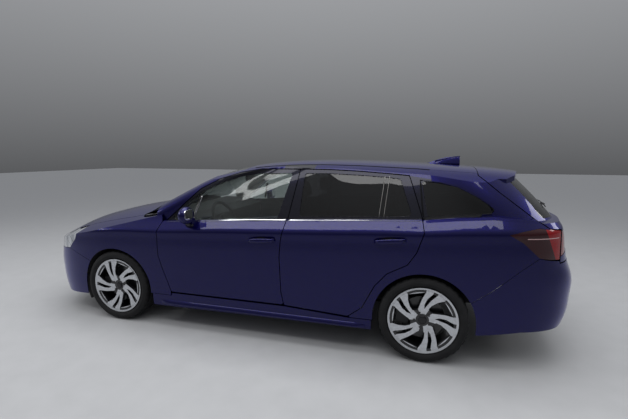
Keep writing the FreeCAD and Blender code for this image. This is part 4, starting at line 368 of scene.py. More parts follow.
def make_rubber(name):
    material, nodes, links, shader = new_material(name)
    vector = object_point(nodes)
    patch = noise(nodes, links, vector, 14.0, 6.0)
    links.new(
        ramp(nodes, links, patch, [(0.3, (0.006, 0.006, 0.007)), (0.75, (0.015, 0.015, 0.016))]),
        shader.inputs["Base Color"],
    )
    links.new(spread(nodes, links, patch, 0.62, 0.82), shader.inputs["Roughness"])
    shader.inputs["Specular IOR Level"].default_value = 0.25
    bump(nodes, links, shader, noise(nodes, links, vector, 500.0, 3.0), 0.4, 0.0004)
    return material


def make_cloth(name, colour):
    material, nodes, links, shader = new_material(name)
    vector = object_point(nodes)
    weave = nodes.new("ShaderNodeTexWave")
    weave.inputs["Scale"].default_value = 260.0
    weave.inputs["Distortion"].default_value = 1.5
    links.new(vector, weave.inputs["Vector"])
    patch = noise(nodes, links, vector, 30.0, 6.0)
    dark = tuple(c * 0.75 for c in colour)
    links.new(ramp(nodes, links, patch, [(0.3, dark), (0.7, colour)]), shader.inputs["Base Color"])
    shader.inputs["Roughness"].default_value = 0.9
    shader.inputs["Sheen Weight"].default_value = 0.25
    bump(nodes, links, shader, weave.outputs["Fac"], 0.5, 0.0006)
    return material


def make_lens(name, colour, smoked, split_x, split_slope):
    """Red lamp plastic with fine moulded lines, smoked ahead of a slanting line, with a pale bar of painted highlight
    across its top.
    """
    material, nodes, links, shader = new_material(name)
    vector = object_point(nodes)
    found = places(nodes, links, vector)
    wave = nodes.new("ShaderNodeTexWave")
    wave.bands_direction = "Z"
    wave.inputs["Scale"].default_value = 70.0
    links.new(vector, wave.inputs["Vector"])
    dark = tuple(c * 0.7 for c in colour)
    red = ramp(nodes, links, wave.outputs["Fac"], [(0.2, dark), (0.8, colour)])
    split = line_value(nodes, links, found["z"], split_x + 0.98 * split_slope, -split_slope)
    ahead = compare(nodes, links, found["x"], split, "LESS_THAN")
    shade = blend_colour(nodes, links, ahead, red, smoked)
    # A thin pale bar across the lamp's top: a painted highlight, not part of the lens.
    level = between(nodes, links, found["z"], 0.947, 0.953)
    highlight_bar = both_of(nodes, links, level, between(nodes, links, found["x"], 1.90, 2.12))
    links.new(blend_colour(nodes, links, highlight_bar, shade, (0.50, 0.34, 0.34)), shader.inputs["Base Color"])
    shader.inputs["Roughness"].default_value = 0.12
    shader.inputs["Specular IOR Level"].default_value = 0.15
    shader.inputs["Coat Weight"].default_value = 0.7
    shader.inputs["Coat Roughness"].default_value = 0.02
    return material


def make_headlamp(name):
    """A clear lens over silver bowls: two dark round projectors ahead, thin dark parting lines along the side."""
    material, nodes, links, shader = new_material(name)
    vector = object_point(nodes)
    found = places(nodes, links, vector)
    wave = nodes.new("ShaderNodeTexWave")
    wave.inputs["Scale"].default_value = 3.0
    wave.inputs["Distortion"].default_value = 1.2
    links.new(vector, wave.inputs["Vector"])
    silver = ramp(nodes, links, wave.outputs["Fac"], [(0.2, (0.34, 0.36, 0.40)), (0.7, (0.56, 0.58, 0.62))])
    dark = None
    ring = None
    for aside, z in ((0.745, 0.680), (0.655, 0.668)):
        level = line_value(nodes, links, found["z"], -z, 1.0)
        across = line_value(nodes, links, found["aside"], -aside, 1.0)
        squares = compare(
            nodes, links, both_of(nodes, links, level, level), both_of(nodes, links, across, across), "ADD"
        )
        disc = compare(nodes, links, squares, 0.030 ** 2, "LESS_THAN")
        edge = between(nodes, links, squares, 0.030 ** 2, 0.036 ** 2)
        dark = disc if dark is None else either(nodes, links, dark, disc)
        ring = edge if ring is None else either(nodes, links, ring, edge)
    front = compare(nodes, links, found["x"], -2.09, "LESS_THAN")
    slant = line_value(nodes, links, found["z"], 0.0, 0.9)
    along = compare(nodes, links, found["x"], slant, "ADD")
    parting = None
    for place in (-1.435, -1.345, -1.265):
        stripe = between(nodes, links, along, place, place + 0.006)
        parting = stripe if parting is None else either(nodes, links, parting, stripe)
    low = both_of(nodes, links, front, compare(nodes, links, found["z"], 0.640, "LESS_THAN"))
    dark = either(nodes, links, both_of(nodes, links, front, dark), either(nodes, links, parting, low))
    shade = blend_colour(nodes, links, dark, silver, (0.012, 0.013, 0.016))
    shade = blend_colour(nodes, links, both_of(nodes, links, front, ring), shade, (0.66, 0.68, 0.71))
    links.new(shade, shader.inputs["Base Color"])
    shader.inputs["Metallic"].default_value = 0.35
    shader.inputs["Roughness"].default_value = 0.34
    shader.inputs["Coat Weight"].default_value = 1.0
    shader.inputs["Coat Roughness"].default_value = 0.02
    return material


BLACK = (0.008, 0.008, 0.010)
TRIM = (0.022, 0.022, 0.024)
PALE = (0.34, 0.33, 0.31)
PAINT = make_body("indigo_paint")
DOOR_PAINT = make_body("indigo_door", [(above_belt, BLACK, 0.20, 0.8), (inner_low, TRIM, 0.65, 0.0)])
SIDE_PAINT = make_body("indigo_side", [
    (inner_side, PALE, 0.85, 0.0), (inner_low, TRIM, 0.70, 0.0), (black_pillars, BLACK, 0.18, 0.8),
])
ROOF_PAINT = make_body("indigo_roof", [(underside, PALE, 0.88, 0.0)])
HOOD_PAINT = make_body("indigo_hood", [(underside, BLACK, 0.70, 0.0)])
GATE_PAINT = make_body("indigo_gate", [(front_face, TRIM, 0.70, 0.0)])
CLEAR_GLASS = make_glass("clear_glass", (0.58, 0.64, 0.62))
DARK_GLASS = make_glass("dark_glass", (0.045, 0.045, 0.050))
HEADLAMP = make_headlamp("headlamp_bowls")
RED_LENS = make_lens("red_lens", (0.26, 0.001, 0.004), (0.024, 0.001, 0.003), 2.030, 0.42)
GATE_LENS = make_lens("red_gate_lens", (0.22, 0.001, 0.004), (0.024, 0.001, 0.003), 1.5, 0.0)
BLACK_GLOSS = plain("gloss_black", (0.010, 0.010, 0.012), 0.22, coat=0.5, grain_depth=0.0, gloss=0.1)
BLACK_PLASTIC = plain("black_plastic", (0.012, 0.012, 0.013), 0.55, gloss=0.2)
SEAL_BLACK = plain("seal_black", (0.006, 0.006, 0.007), 0.45, gloss=0.05)
CABIN_PLASTIC = plain("cabin_plastic", (0.020, 0.020, 0.022), 0.62, grain=700.0, grain_depth=0.0004, gloss=0.3)
CHROME = plain("chrome_trim", (0.78, 0.79, 0.82), 0.12, metal=1.0, vary=0.03, grain_depth=0.0)
RUBBER = make_rubber("tyre_rubber")
IRON = plain("dark_iron", (0.040, 0.040, 0.042), 0.60, metal=0.6, grain=120.0, grain_depth=0.0008)
STEEL = plain("dull_steel", (0.26, 0.25, 0.24), 0.45, metal=0.9, grain=200.0)
FLOOR_COAT = plain("floor_coat", (0.014, 0.014, 0.015), 0.85, grain=90.0, grain_depth=0.001)
CLOTH = make_cloth("seat_cloth", (0.040, 0.040, 0.044))
MIRROR = plain("mirror_silver", (0.85, 0.86, 0.88), 0.03, metal=1.0, vary=0.01, grain_depth=0.0)

BY_SLOT = {
    "paint": PAINT, "clear_glass": CLEAR_GLASS, "dark_glass": DARK_GLASS, "lamp_lens": HEADLAMP,
    "red_lens": RED_LENS, "black_plastic": BLACK_PLASTIC, "tyre_rubber": RUBBER, "wheel_alloy": STEEL,
    "iron": IRON, "steel": STEEL, "floor_coat": FLOOR_COAT, "tank_plastic": BLACK_PLASTIC,
    "seat_cloth": CLOTH, "cabin_plastic": CABIN_PLASTIC,
}


def paint_node(node, material):
    node.data.materials.clear()
    node.data.materials.append(material)


for item in frame["record"]["subparts"]:
    paint_node(NODES[item["node"]], BY_SLOT[item["material_slot"]])
for side, _ in SIDES:
    paint_node(NODES[f"door_front_{side}"], DOOR_PAINT)
    paint_node(NODES[f"door_rear_{side}"], DOOR_PAINT)
    paint_node(NODES[f"side_frame_{side}"], SIDE_PAINT)
for node, material in (
    ("roof_panel", ROOF_PAINT), ("hood", HOOD_PAINT), ("tailgate", GATE_PAINT), ("grille", BLACK_GLOSS),
    ("tailgate_lamps", GATE_LENS),
):
    paint_node(NODES[node], material)
for place, (x, y) in WHEELS.items():
    finish = make_rim_metal(f"machined_alloy_{place}", x, RIM_TURNS[place], 1 if y > 0 else -1)
    paint_node(NODES[f"rim_{place}"], finish)

# Helpers for added pieces.


def surface_of(*names):
    """The joined surface of several CAD nodes, for finding points on it."""
    mesh = bmesh.new()
    for name in names:
        mesh.from_mesh(NODES[name].data)
    tree = BVHTree.FromBMesh(mesh)
    mesh.free()
    return tree


def on_side(tree, x, z, sign):
    """The point and outward normal where a level line from outside meets the surface."""
    start = Vector((x, sign * 1.3, z))
    hit, normal, _, _ = tree.ray_cast(start, Vector((0, -sign, 0)))
    return hit, normal


def add_piece(name, mesh, material, body, smooth=True):
    piece = bpy.data.objects.new(name, mesh)
    bpy.context.scene.collection.objects.link(piece)
    mesh.materials.append(material)
    if smooth:
        for polygon in mesh.polygons:
            polygon.use_smooth = True
    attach(piece, body)
    return piece


def around(count):
    """Equal steps of angle for one full turn."""
    return [2 * math.pi * j / count for j in range(count)]


def squared(value, power):
    """A sine or cosine pushed outward, so that a ring comes out as a rounded rectangle."""
    return math.copysign(abs(value) ** power, value)


def mesh_from(name, points, faces):
    mesh = bpy.data.meshes.new(name)
    mesh.from_pydata([tuple(p) for p in points], [], faces)
    mesh.update()
    return mesh


def bevel(piece, width):
    modifier = piece.modifiers.new("edges", "BEVEL")
    modifier.width = width
    modifier.segments = 2
    modifier.limit_method = "ANGLE"


def tube_along(name, sections):
    """A mesh through equal rings of points, closed at both ends."""
    count = len(sections[0])
    points = [p for ring in sections for p in ring]
    faces = []
    for k in range(len(sections) - 1):
        for j in range(count):
            a = k * count + j
            b = k * count + (j + 1) % count
            faces.append((a, b, b + count, a + count))
    faces.append(tuple(reversed(range(count))))
    last = (len(sections) - 1) * count
    faces.append(tuple(last + j for j in range(count)))
    return mesh_from(name, points, faces)


def belt_z(x):
    for (x0, z0), (x1, z1) in zip(BELT, BELT[1:]):
        if x <= x1:
            return z0 + (z1 - z0) * (x - x0) / (x1 - x0)
    return BELT[-1][1]


def steps(start, end, count):
    return [start + (end - start) * k / count for k in range(count + 1)]


# Belt mouldings on the doors, window bars and the black seal round the quarter window.


def path_strip(name, tree, path, width, stand, sign, material, body):
    """A flat moulding along a line of (x, z) points on a side of the car."""
    rings = []
    for k, (x, z) in enumerate(path):
        x0, z0 = path[max(k - 1, 0)]
        x1, z1 = path[min(k + 1, len(path) - 1)]
        length = math.hypot(x1 - x0, z1 - z0)
        across = (-(z1 - z0) / length * width / 2, (x1 - x0) / length * width / 2)
        first, _ = on_side(tree, x - across[0], z - across[1], sign)
        second, _ = on_side(tree, x + across[0], z + across[1], sign)
        if first is None or second is None:
            continue
        out = Vector((0, sign, 0))
        rings.append([
            first - out * 0.003, first + out * stand * 0.6, (first + second) / 2 + out * stand,
            second + out * stand * 0.6, second - out * 0.003,
        ])
    return add_piece(name, tube_along(name, rings), material, body)


def between_points(points, pace=0.025):
    path = []
    for (x0, z0), (x1, z1) in zip(points, points[1:]):
        count = max(int(math.hypot(x1 - x0, z1 - z0) / pace), 1)
        path += [(x0 + (x1 - x0) * k / count, z0 + (z1 - z0) * k / count) for k in range(count)]
    return path + [points[-1]]


QUARTER_SEAL = [
    (1.236, 1.052), (1.206, 1.314), (1.330, 1.300), (1.464, 1.276), (1.592, 1.212), (1.676, 1.152),
    (1.700, 1.112), (1.690, 1.094), (1.600, 1.084), (1.450, 1.070), (1.236, 1.052),
]
FRONT_BAR = [(-0.633, 0.965), (-0.577, 1.150)]
SMALL_PANE_BAR = [(0.943, 1.050), (0.968, 1.340)]
for side, sign in SIDES:
    front = surface_of(f"door_front_{side}", f"glass_front_{side}")
    rear = surface_of(f"door_rear_{side}", f"glass_rear_{side}")
    quarter = surface_of(f"side_frame_{side}", "quarter_glass")
    for part, tree, x0, x1 in (("front", front, -0.890, 0.214), ("rear", rear, 0.234, 1.222)):
        path_strip(
            f"belt_moulding_{part}_{side}", tree, [(x, belt_z(x) - 0.003) for x in steps(x0, x1, 40)], 0.009,
            0.004, sign, CHROME, f"door_{part}_{side}",
        )
    path_strip(
        f"front_pane_bar_{side}", front, between_points(FRONT_BAR), 0.022, 0.005, sign, BLACK_GLOSS,
        f"door_front_{side}",
    )
    path_strip(
        f"front_pane_bar_edge_{side}", front, between_points([(x + 0.009, z) for x, z in FRONT_BAR]), 0.004,
        0.008, sign, CHROME, f"door_front_{side}",
    )
    for shift in (-0.017, 0.017):
        label = "ahead" if shift < 0 else "behind"
        path_strip(
            f"small_pane_edge_{label}_{side}", rear, between_points([(x + shift, z) for x, z in SMALL_PANE_BAR]),
            0.003, 0.003, sign, STEEL, f"door_rear_{side}",
        )
    path_strip(
        f"quarter_seal_{side}", quarter, between_points(QUARTER_SEAL), 0.011, 0.002, sign, SEAL_BLACK, "body",
    )

# Door handles, each over a flat black disc of painted shade for the recess behind it.

HANDLES = {"front": (-0.078, 0.148, 0.832, 0.846), "rear": (0.902, 1.129, 0.885, 0.908)}
for side, sign in SIDES:
    for part, (x0, x1, z0, z1) in HANDLES.items():
        tree = surface_of(f"door_{part}_{side}")
        rings = []
        for k in range(25):
            t = k / 24
            x = x0 + (x1 - x0) * t
            z = z0 + (z1 - z0) * t
            base, _ = on_side(tree, x, z, sign)
            lift = 0.036 * min(1.0, math.sin(math.pi * t) * 2.2) ** 0.6
            half = 0.013 + 0.004 * math.sin(math.pi * t)
            rings.append([
                Vector((x, base.y + sign * (lift - 0.004 + 0.007 * math.cos(angle)), z + half * math.sin(angle)))
                for angle in around(12)
            ])
        mesh = tube_along(f"handle_{part}_{side}", rings)
        add_piece(f"handle_{part}_{side}", mesh, PAINT, f"door_{part}_{side}")
        # A flat black disc on the door round the handle: painted shade standing for the shaded recess behind it.
        recess_shade = []
        middle_x, middle_z = (x0 + x1) / 2, (z0 + z1) / 2
        for angle in around(28):
            x = middle_x + 0.062 * math.cos(angle)
            z = middle_z + 0.026 * math.sin(angle)
            base, _ = on_side(tree, x, z, sign)
            recess_shade.append(base + Vector((0, sign * 0.0012, 0)))
        base, _ = on_side(tree, middle_x, middle_z, sign)
        recess_shade.append(base + Vector((0, sign * 0.0012, 0)))
        faces = [(j, (j + 1) % 28, 28) if sign > 0 else ((j + 1) % 28, j, 28) for j in range(28)]
        mesh = mesh_from(f"handle_recess_shade_{part}_{side}", recess_shade, faces)
        add_piece(f"handle_recess_shade_{part}_{side}", mesh, BLACK_GLOSS, f"door_{part}_{side}")

# Tyres: a lathed ring with grooves, blocks at the shoulder and ribs on the wall.

TYRE_PROFILE = [
    (0.2305, 0.087), (0.247, 0.090), (0.253, 0.099), (0.262, 0.107), (0.276, 0.1115), (0.288, 0.1118),
    (0.290, 0.1100), (0.296, 0.1098), (0.302, 0.107), (0.309, 0.1015), (0.3145, 0.094), (0.3175, 0.085),
    (0.3185, 0.071), (0.3190, 0.0570), (0.3125, 0.0560), (0.3125, 0.0470), (0.3192, 0.0460),
    (0.3197, 0.0215), (0.3130, 0.0205), (0.3130, 0.0115), (0.3198, 0.0105), (0.3200, 0.0),
]


def make_tyre(name, x, y, body):
    profile = TYRE_PROFILE + [(r, -w) for r, w in reversed(TYRE_PROFILE[:-1])]
    count = 144
    points, faces = [], []
    for k, angle in enumerate(around(count)):
        for r, w in profile:
            cut = 0.0
            if r > 0.309 and abs(w) > 0.060 and k % 4 == 0:
                cut = 0.006
            reach = r - cut
            points.append((x + reach * math.cos(angle), y + w, HUB_Z + reach * math.sin(angle)))
    size = len(profile)
    for k in range(count):
        following = (k + 1) % count
        for j in range(size):
            after = (j + 1) % size
            faces.append((k * size + j, k * size + after, following * size + after, following * size + j))
    mesh = mesh_from(name, points, faces)
    bm = bmesh.new()
    bm.from_mesh(mesh)
    bmesh.ops.recalc_face_normals(bm, faces=bm.faces)
    bm.to_mesh(mesh)
    bm.free()
    return add_piece(name, mesh, RUBBER, body)


for place, (x, y) in WHEELS.items():
    tyre = make_tyre(f"tyre_{place}_grooved", x, y, f"wheel_{place}")
    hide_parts(f"tyre_{place}")

# Wheel nuts and centre caps.

for place, (x, y) in WHEELS.items():
    sign = -1 if y < 0 else 1
    points, faces = [], []
    for k in range(5):
        angle = -sign * math.radians(72 * k - 36 + RIM_TURNS[place])
        cx, cz = x + 0.057 * math.cos(angle), HUB_Z + 0.057 * math.sin(angle)
        first = len(points)
        for depth, radius in ((0.070, 0.0095), (0.086, 0.0095), (0.088, 0.0075)):
            for j in range(6):
                turn = math.radians(60 * j)
                points.append((cx + radius * math.cos(turn), y + sign * depth, cz + radius * math.sin(turn)))
        for ring in range(2):
            for j in range(6):
                a = first + ring * 6 + j
                b = first + ring * 6 + (j + 1) % 6
                faces.append((a, b, b + 6, a + 6))
        faces.append(tuple(first + 12 + j for j in range(6)))
    mesh = mesh_from(f"wheel_nuts_{place}", points, faces)
    add_piece(f"wheel_nuts_{place}", mesh, IRON, f"wheel_{place}", smooth=False)
    rings = []
    for depth, radius in ((0.076, 0.032), (0.088, 0.031), (0.0905, 0.027), (0.0915, 0.016)):
        rings.append([
            Vector((x + radius * math.cos(angle), y + sign * depth, HUB_Z + radius * math.sin(angle)))
            for angle in around(32)
        ])
    mesh = tube_along(f"hub_cap_{place}", rings)
    add_piece(f"hub_cap_{place}", mesh, BLACK_GLOSS, f"wheel_{place}")

# Mirror glass and the black neck that carries each mirror on its door.

NECK_X = -0.618
for side, sign in SIDES:
    low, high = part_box(f"mirror_{side}")
    x = high.x + 0.001
    centre_y = sign * (max(abs(low.y), abs(high.y)) - 0.070)
    centre_z = (low.z + high.z) / 2 + 0.012
    rings = []
    for back, scale in ((-0.014, 1.0), (0.0, 1.0), (0.001, 0.96)):
        rings.append([
            Vector((
                x + back, centre_y + 0.056 * scale * squared(math.cos(angle), 0.6),
                centre_z + 0.042 * scale * squared(math.sin(angle), 0.6),
            ))
            for angle in around(40)
        ])
    mesh = tube_along(f"mirror_glass_{side}", rings)
    add_piece(f"mirror_glass_{side}", mesh, MIRROR, f"door_front_{side}", smooth=False)
    rings = []
    for aside, z, half_x, half_z in (
        (0.846, 0.905, 0.042, 0.030), (0.862, 0.910, 0.034, 0.022), (0.882, 0.922, 0.026, 0.016),
        (0.902, 0.942, 0.024, 0.016), (0.915, 0.965, 0.028, 0.020),
    ):
        rings.append([
            Vector((NECK_X + half_x * math.cos(angle), sign * aside, z + half_z * math.sin(angle)))
            for angle in around(24)
        ])
    mesh = tube_along(f"mirror_neck_{side}", rings)
    add_piece(f"mirror_neck_{side}", mesh, BLACK_GLOSS, f"door_front_{side}")

# Fin on the roof, a smooth cover over the plain one.


def from_above(tree, x, y):
    hit, _, _, _ = tree.ray_cast(Vector((x, y, 2.0)), Vector((0, 0, -1)))
    return hit


roof = surface_of("roof_panel")
FIN_START, FIN_END = 1.268, 1.537
rings = []
for x in steps(FIN_START, FIN_END, 30):
    share = (x - FIN_START) / (FIN_END - FIN_START)
    floor_z = from_above(roof, x, 0.034).z
    top_z = floor_z - 0.004 + (1.4920 - floor_z) * (1 - (1 - share) ** 2.1) ** 0.9
    cad_top = from_above(roof, x, 0.0).z + 0.0015 if x < FIN_END - 0.008 else 0.0
    top_z = max(top_z, cad_top)
    half = 0.007 + 0.0165 * min(1.0, share / 0.22) ** 0.6
    ring = []
    for f in (0.0, 0.25, 0.5, 0.7, 0.86, 0.96):
        ring.append(Vector((x, -half * (1 - f) ** 0.62, floor_z - 0.006 + (top_z - floor_z + 0.006) * f)))
    ring.append(Vector((x, 0.0, top_z)))
    ring += [Vector((p.x, -p.y, p.z)) for p in reversed(ring[:-1])]
    rings.append(ring)
add_piece("roof_fin_cover", tube_along("roof_fin_cover", rings), PAINT, "body")

# Black mouldings in the roof's side joints.

for side, sign in SIDES:
    rings = []
    for x in steps(-0.14, 1.52, 40):
        reach = 0.560
        while reach < 0.64 and from_above(roof, x, sign * (reach + 0.004)) is not None:
            reach += 0.004
        foot = from_above(roof, x, sign * (reach - 0.004))
        if foot is None:
            continue
        rings.append([
            foot + Vector((0, sign * (aside + 0.004), rise))
            for aside, rise in ((-0.007, -0.002), (-0.004, 0.0018), (0.004, 0.0018), (0.007, -0.002))
        ])
    mesh = tube_along(f"roof_moulding_{side}", rings)
    add_piece(f"roof_moulding_{side}", mesh, BLACK_PLASTIC, "body")

# The skirts' lower lip.

for side, sign in SIDES:
    skirt = surface_of("sill_skirts")
    rings = []
    for x in steps(-0.93, 0.85, 40):
        foot, _ = on_side(skirt, x, 0.222, sign)
        if foot is None:
            continue
        fade = min(1.0, (x + 0.93) / 0.10 + 0.15, (0.85 - x) / 0.10 + 0.15)
        out = sign * 0.015 * fade
        outline = (
            (-sign * 0.004, 0.250), (out * 0.45, 0.240), (out, 0.222), (out, 0.212), (out * 0.4, 0.204),
            (-sign * 0.006, 0.202),
        )
        rings.append([Vector((x, foot.y + aside, z)) for aside, z in outline])
    mesh = tube_along(f"skirt_lip_{side}", rings)
    bevel(add_piece(f"skirt_lip_{side}", mesh, PAINT, "body"), 0.002)

# Wipers.


def wiper(name, points, widths, heights, material, body):
    """A bar along points, each with its own half width and height off the glass."""
    rings = []
    for k, (point, normal) in enumerate(points):
        before = points[max(k - 1, 0)][0]
        after = points[min(k + 1, len(points) - 1)][0]
        across = normal.cross(after - before).normalized()
        half, rise = widths[k], heights[k]
        rings.append([
            point + normal * (rise - 0.006) - across * half, point + normal * rise - across * half * 0.7,
            point + normal * rise + across * half * 0.7, point + normal * (rise - 0.006) + across * half,
        ])
    bevel(add_piece(name, tube_along(name, rings), material, body), 0.0012)


def on_glass(tree, x, y, direction):
    hit, _, _, _ = tree.ray_cast(Vector((x, y, 1.15)) - direction * 2.0, direction)
    return (hit, -direction) if hit is not None else None


screen = surface_of("windscreen")
SCREEN_DOWN = Vector((0.45, 0, -0.89)).normalized()
for name, y0, y1, pivot_y in (("driver", -0.560, 0.020, -0.42), ("passenger", 0.040, 0.560, 0.10)):
    blade = []
    for y in steps(y0, y1, 20):
        edge = None
        for x in steps(-1.30, -0.70, 120):
            found = on_glass(screen, x, y, SCREEN_DOWN)
            if found is not None:
                edge = found[0].x
                start_x = x
                break
        if edge is None:
            continue
        found = on_glass(screen, start_x + 0.035 + 0.02 * (y - y0), y, SCREEN_DOWN)
        if found is not None:
            blade.append(found)
    if len(blade) > 4:
        count = len(blade)
        wiper(f"wiper_blade_{name}", blade, [0.006] * count, [0.016] * count, BLACK_PLASTIC, "body")
        half = len(blade) // 2
        middle = blade[half][0]
        pivot = Vector((middle.x - 0.050, pivot_y, middle.z - 0.020))
        arm = []
        for share in steps(0.0, 1.0, 8):
            point = pivot.lerp(middle, share)
            arm.append((point, -SCREEN_DOWN))
        wiper(
            f"wiper_arm_{name}", arm, [0.012 - 0.005 * s for s in steps(0.0, 1.0, 8)],
            [0.018 + 0.010 * s for s in steps(0.0, 1.0, 8)], BLACK_PLASTIC, "body",
        )
rear_glass = surface_of("tailgate_glass")
GATE_DOWN = Vector((-0.58, 0, -0.81)).normalized()


def gate_point(y, share):
    x = 2.190 + (1.870 - 2.190) * share
    z = 1.062 + (1.300 - 1.062) * share
    hit, _, _, _ = rear_glass.ray_cast(Vector((x, y, z)) - GATE_DOWN * 0.5, GATE_DOWN)
    return (hit, -GATE_DOWN) if hit is not None else None


blade = [p for p in (gate_point(y, 0.17 + 0.10 * (0.05 - y)) for y in steps(0.05, -0.36, 16)) if p]
arm = [p for p in (gate_point(y, 0.02 + 0.60 * (-y)) for y in steps(0.01, -0.24, 10)) if p]
if len(blade) > 4 and len(arm) > 4:
    wiper("rear_wiper_blade", blade, [0.006] * len(blade), [0.014] * len(blade), BLACK_PLASTIC, "tailgate")
    spread_out = steps(0.0, 1.0, len(arm) - 1)
    wiper(
        "rear_wiper_arm", arm, [0.017 - 0.010 * s for s in spread_out], [0.030 - 0.010 * s for s in spread_out],
        BLACK_PLASTIC, "tailgate",
    )

# Mirror inside the windscreen.

CABIN_MIRROR_Z = 1.262
rings = []
for x, half_y, half_z in (
    (-0.468, 0.105, 0.022), (-0.462, 0.118, 0.030), (-0.448, 0.122, 0.034), (-0.440, 0.120, 0.032),
):
    rings.append([
        Vector((x, half_y * squared(math.cos(angle), 0.5), CABIN_MIRROR_Z + half_z * squared(math.sin(angle), 0.6)))
        for angle in around(32)
    ])
add_piece("cabin_mirror", tube_along("cabin_mirror", rings), BLACK_PLASTIC, "body")
top = from_above(screen, -0.50, 0.0)
rings = []
for x, z, half in ((-0.462, 1.275, 0.010), (-0.480, 1.298, 0.012), (-0.500, top.z - 0.006, 0.020)):
    rings.append([Vector((x + half * math.cos(angle), half * math.sin(angle), z)) for angle in around(16)])
add_piece("cabin_mirror_stalk", tube_along("cabin_mirror_stalk", rings), BLACK_PLASTIC, "body")

# Liners ahead of the front wheels, from the wheel house down to the bumper's edge.

for side, sign in SIDES:
    points, faces = [], []
    angles = steps(math.radians(166), math.radians(206), 12)
    for angle in angles:
        for radius in (0.374, 0.378):
            x, z = FRONT_AXLE_X + radius * math.cos(angle), HUB_Z + radius * math.sin(angle)
            points += [(x, sign * aside, z) for aside in (0.500, 0.838)]
    for a in range(0, 48, 4):
        faces += [
            (a, a + 1, a + 5, a + 4), (a + 2, a + 6, a + 7, a + 3),
            (a, a + 4, a + 6, a + 2), (a + 1, a + 3, a + 7, a + 5),
        ]
    faces += [(0, 2, 3, 1), (48, 49, 51, 50)]
    mesh = mesh_from(f"front_liner_{side}", points, faces)
    add_piece(f"front_liner_{side}", mesh, FLOOR_COAT, "body")

# Seats. Each pad starts as a rounded form a little inside its place, is blown up as cloth, then gets its seams.

VOXEL = 0.012
ROUNDING = 0.36
SEAM_DEPTH = 0.007
SEAM_WIDTH = 0.009


def bake(piece):
    graph = bpy.context.evaluated_depsgraph_get()
    mesh = bpy.data.meshes.new_from_object(piece.evaluated_get(graph))
    piece.modifiers.clear()
    piece.data = mesh


def soft_form(name, point_of):
    """A closed rounded form. point_of gives a point from places of -1 to 1 along, across and through it."""
    sections = []
    for k in range(1, 44):
        angle = -math.pi / 2 + math.pi * k / 44
        reach = squared(math.sin(angle), ROUNDING)
        shrink = math.cos(angle) ** ROUNDING
        sections.append([
            point_of(reach, squared(math.cos(turn), ROUNDING) * shrink, squared(math.sin(turn), ROUNDING) * shrink)
            for turn in around(64)
        ])
    return tube_along(name, sections)


def puff(piece, rest_z, cap):
    """Remesh evenly, inflate as cloth, hold each point near its start and flatten what lies on a pan."""
    remesh = piece.modifiers.new("even", "REMESH")
    remesh.mode = "VOXEL"
    remesh.voxel_size = VOXEL
    bake(piece)
    first = [vertex.co.copy() for vertex in piece.data.vertices]
    cloth = piece.modifiers.new("cloth", "CLOTH")
    cloth.settings.use_pressure = True
    cloth.settings.uniform_pressure_force = 4.0
    cloth.settings.effector_weights.gravity = 0.0
    cloth.point_cache.frame_start = 1
    cloth.point_cache.frame_end = 20
    for number in range(1, 21):
        bpy.context.scene.frame_set(number)
    bake(piece)
    bpy.context.scene.frame_set(1)
    for vertex, start_place in zip(piece.data.vertices, first):
        move = vertex.co - start_place
        if move.length > cap:
            vertex.co = start_place + move.normalized() * cap
        if rest_z is not None and vertex.co.z < rest_z:
            vertex.co.z = rest_z
    finer = piece.modifiers.new("finer", "SUBSURF")
    finer.levels = 1
    finer.render_levels = 1
    bake(piece)


def sew(piece, place_of, channels):
    """Press seams in. place_of gives (along, across, facing) of a point; a channel is (axis, place, low, high)."""
    mesh = piece.data
    normals = [vertex.normal.copy() for vertex in mesh.vertices]
    for vertex, normal in zip(mesh.vertices, normals):
        along, across, facing = place_of(vertex.co, normal)
        if facing < 0.25:
            continue
        pressed = 0.0
        for axis, at, low, high in channels:
            value, other = (along, abs(across)) if axis == "along" else (abs(across), along)
            if low <= other <= high:
                pressed = max(pressed, math.exp(-((value - at) / SEAM_WIDTH) ** 2))
        vertex.co -= normal * SEAM_DEPTH * pressed


def finish_pad(piece):
    for polygon in piece.data.polygons:
        polygon.use_smooth = True
    piece.data.materials.clear()
    piece.data.materials.append(CLOTH)


def copy_across(piece, name, shift):
    mesh = piece.data.copy()
    mesh.transform(Matrix.Translation((0, shift, 0)))
    finish_pad(add_piece(name, mesh, CLOTH, "body"))


def leaning(foot, head, half_width, half_deep, taper, recess, centre_y):
    """point_of and place_of for a pad that stands from foot to head, seen from ahead."""
    foot, head = Vector((foot[0], centre_y, foot[1])), Vector((head[0], centre_y, head[1]))
    middle, half = (foot + head) / 2, (head - foot).length / 2
    rise = (head - foot).normalized()
    ahead = Vector((-rise.z, 0, rise.x))

    def point_of(reach, across, through):
        width = half_width * (1 - taper * max(0.0, reach) ** 2)
        hollow = recess * max(0.0, 1 - (abs(across) / 0.62) ** 4) if through > 0 else 0.0
        deep = half_deep * (1 - 0.18 * reach) * through - hollow * max(0.0, through)
        return middle + rise * reach * half + Vector((0, across * width, 0)) + ahead * deep

    def place_of(point, normal):
        offset = point - middle
        return offset.dot(rise), point.y - centre_y, normal.dot(ahead)

    return point_of, place_of


def lying(x0, x1, z0, z1, half_width, recess, tilt, centre_y):
    """point_of and place_of for a cushion that lies on a pan, higher at its front."""
    middle_x, half = (x0 + x1) / 2, (x1 - x0) / 2
    middle_z, half_deep = (z0 + z1) / 2, (z1 - z0) / 2

    def point_of(reach, across, through):
        hollow = recess * max(0.0, 1 - (abs(across) / 0.62) ** 4) * max(0.0, through)
        up_by = half_deep * through - hollow - tilt * reach * max(0.0, through)
        return Vector((middle_x + reach * half, centre_y + across * half_width, middle_z + up_by))

    def place_of(point, normal):
        return point.x - middle_x, point.y - centre_y, normal.z

    return point_of, place_of


# Each pad: its name, form, resting height, how far a point may move, seams, the node it replaces and its copies.

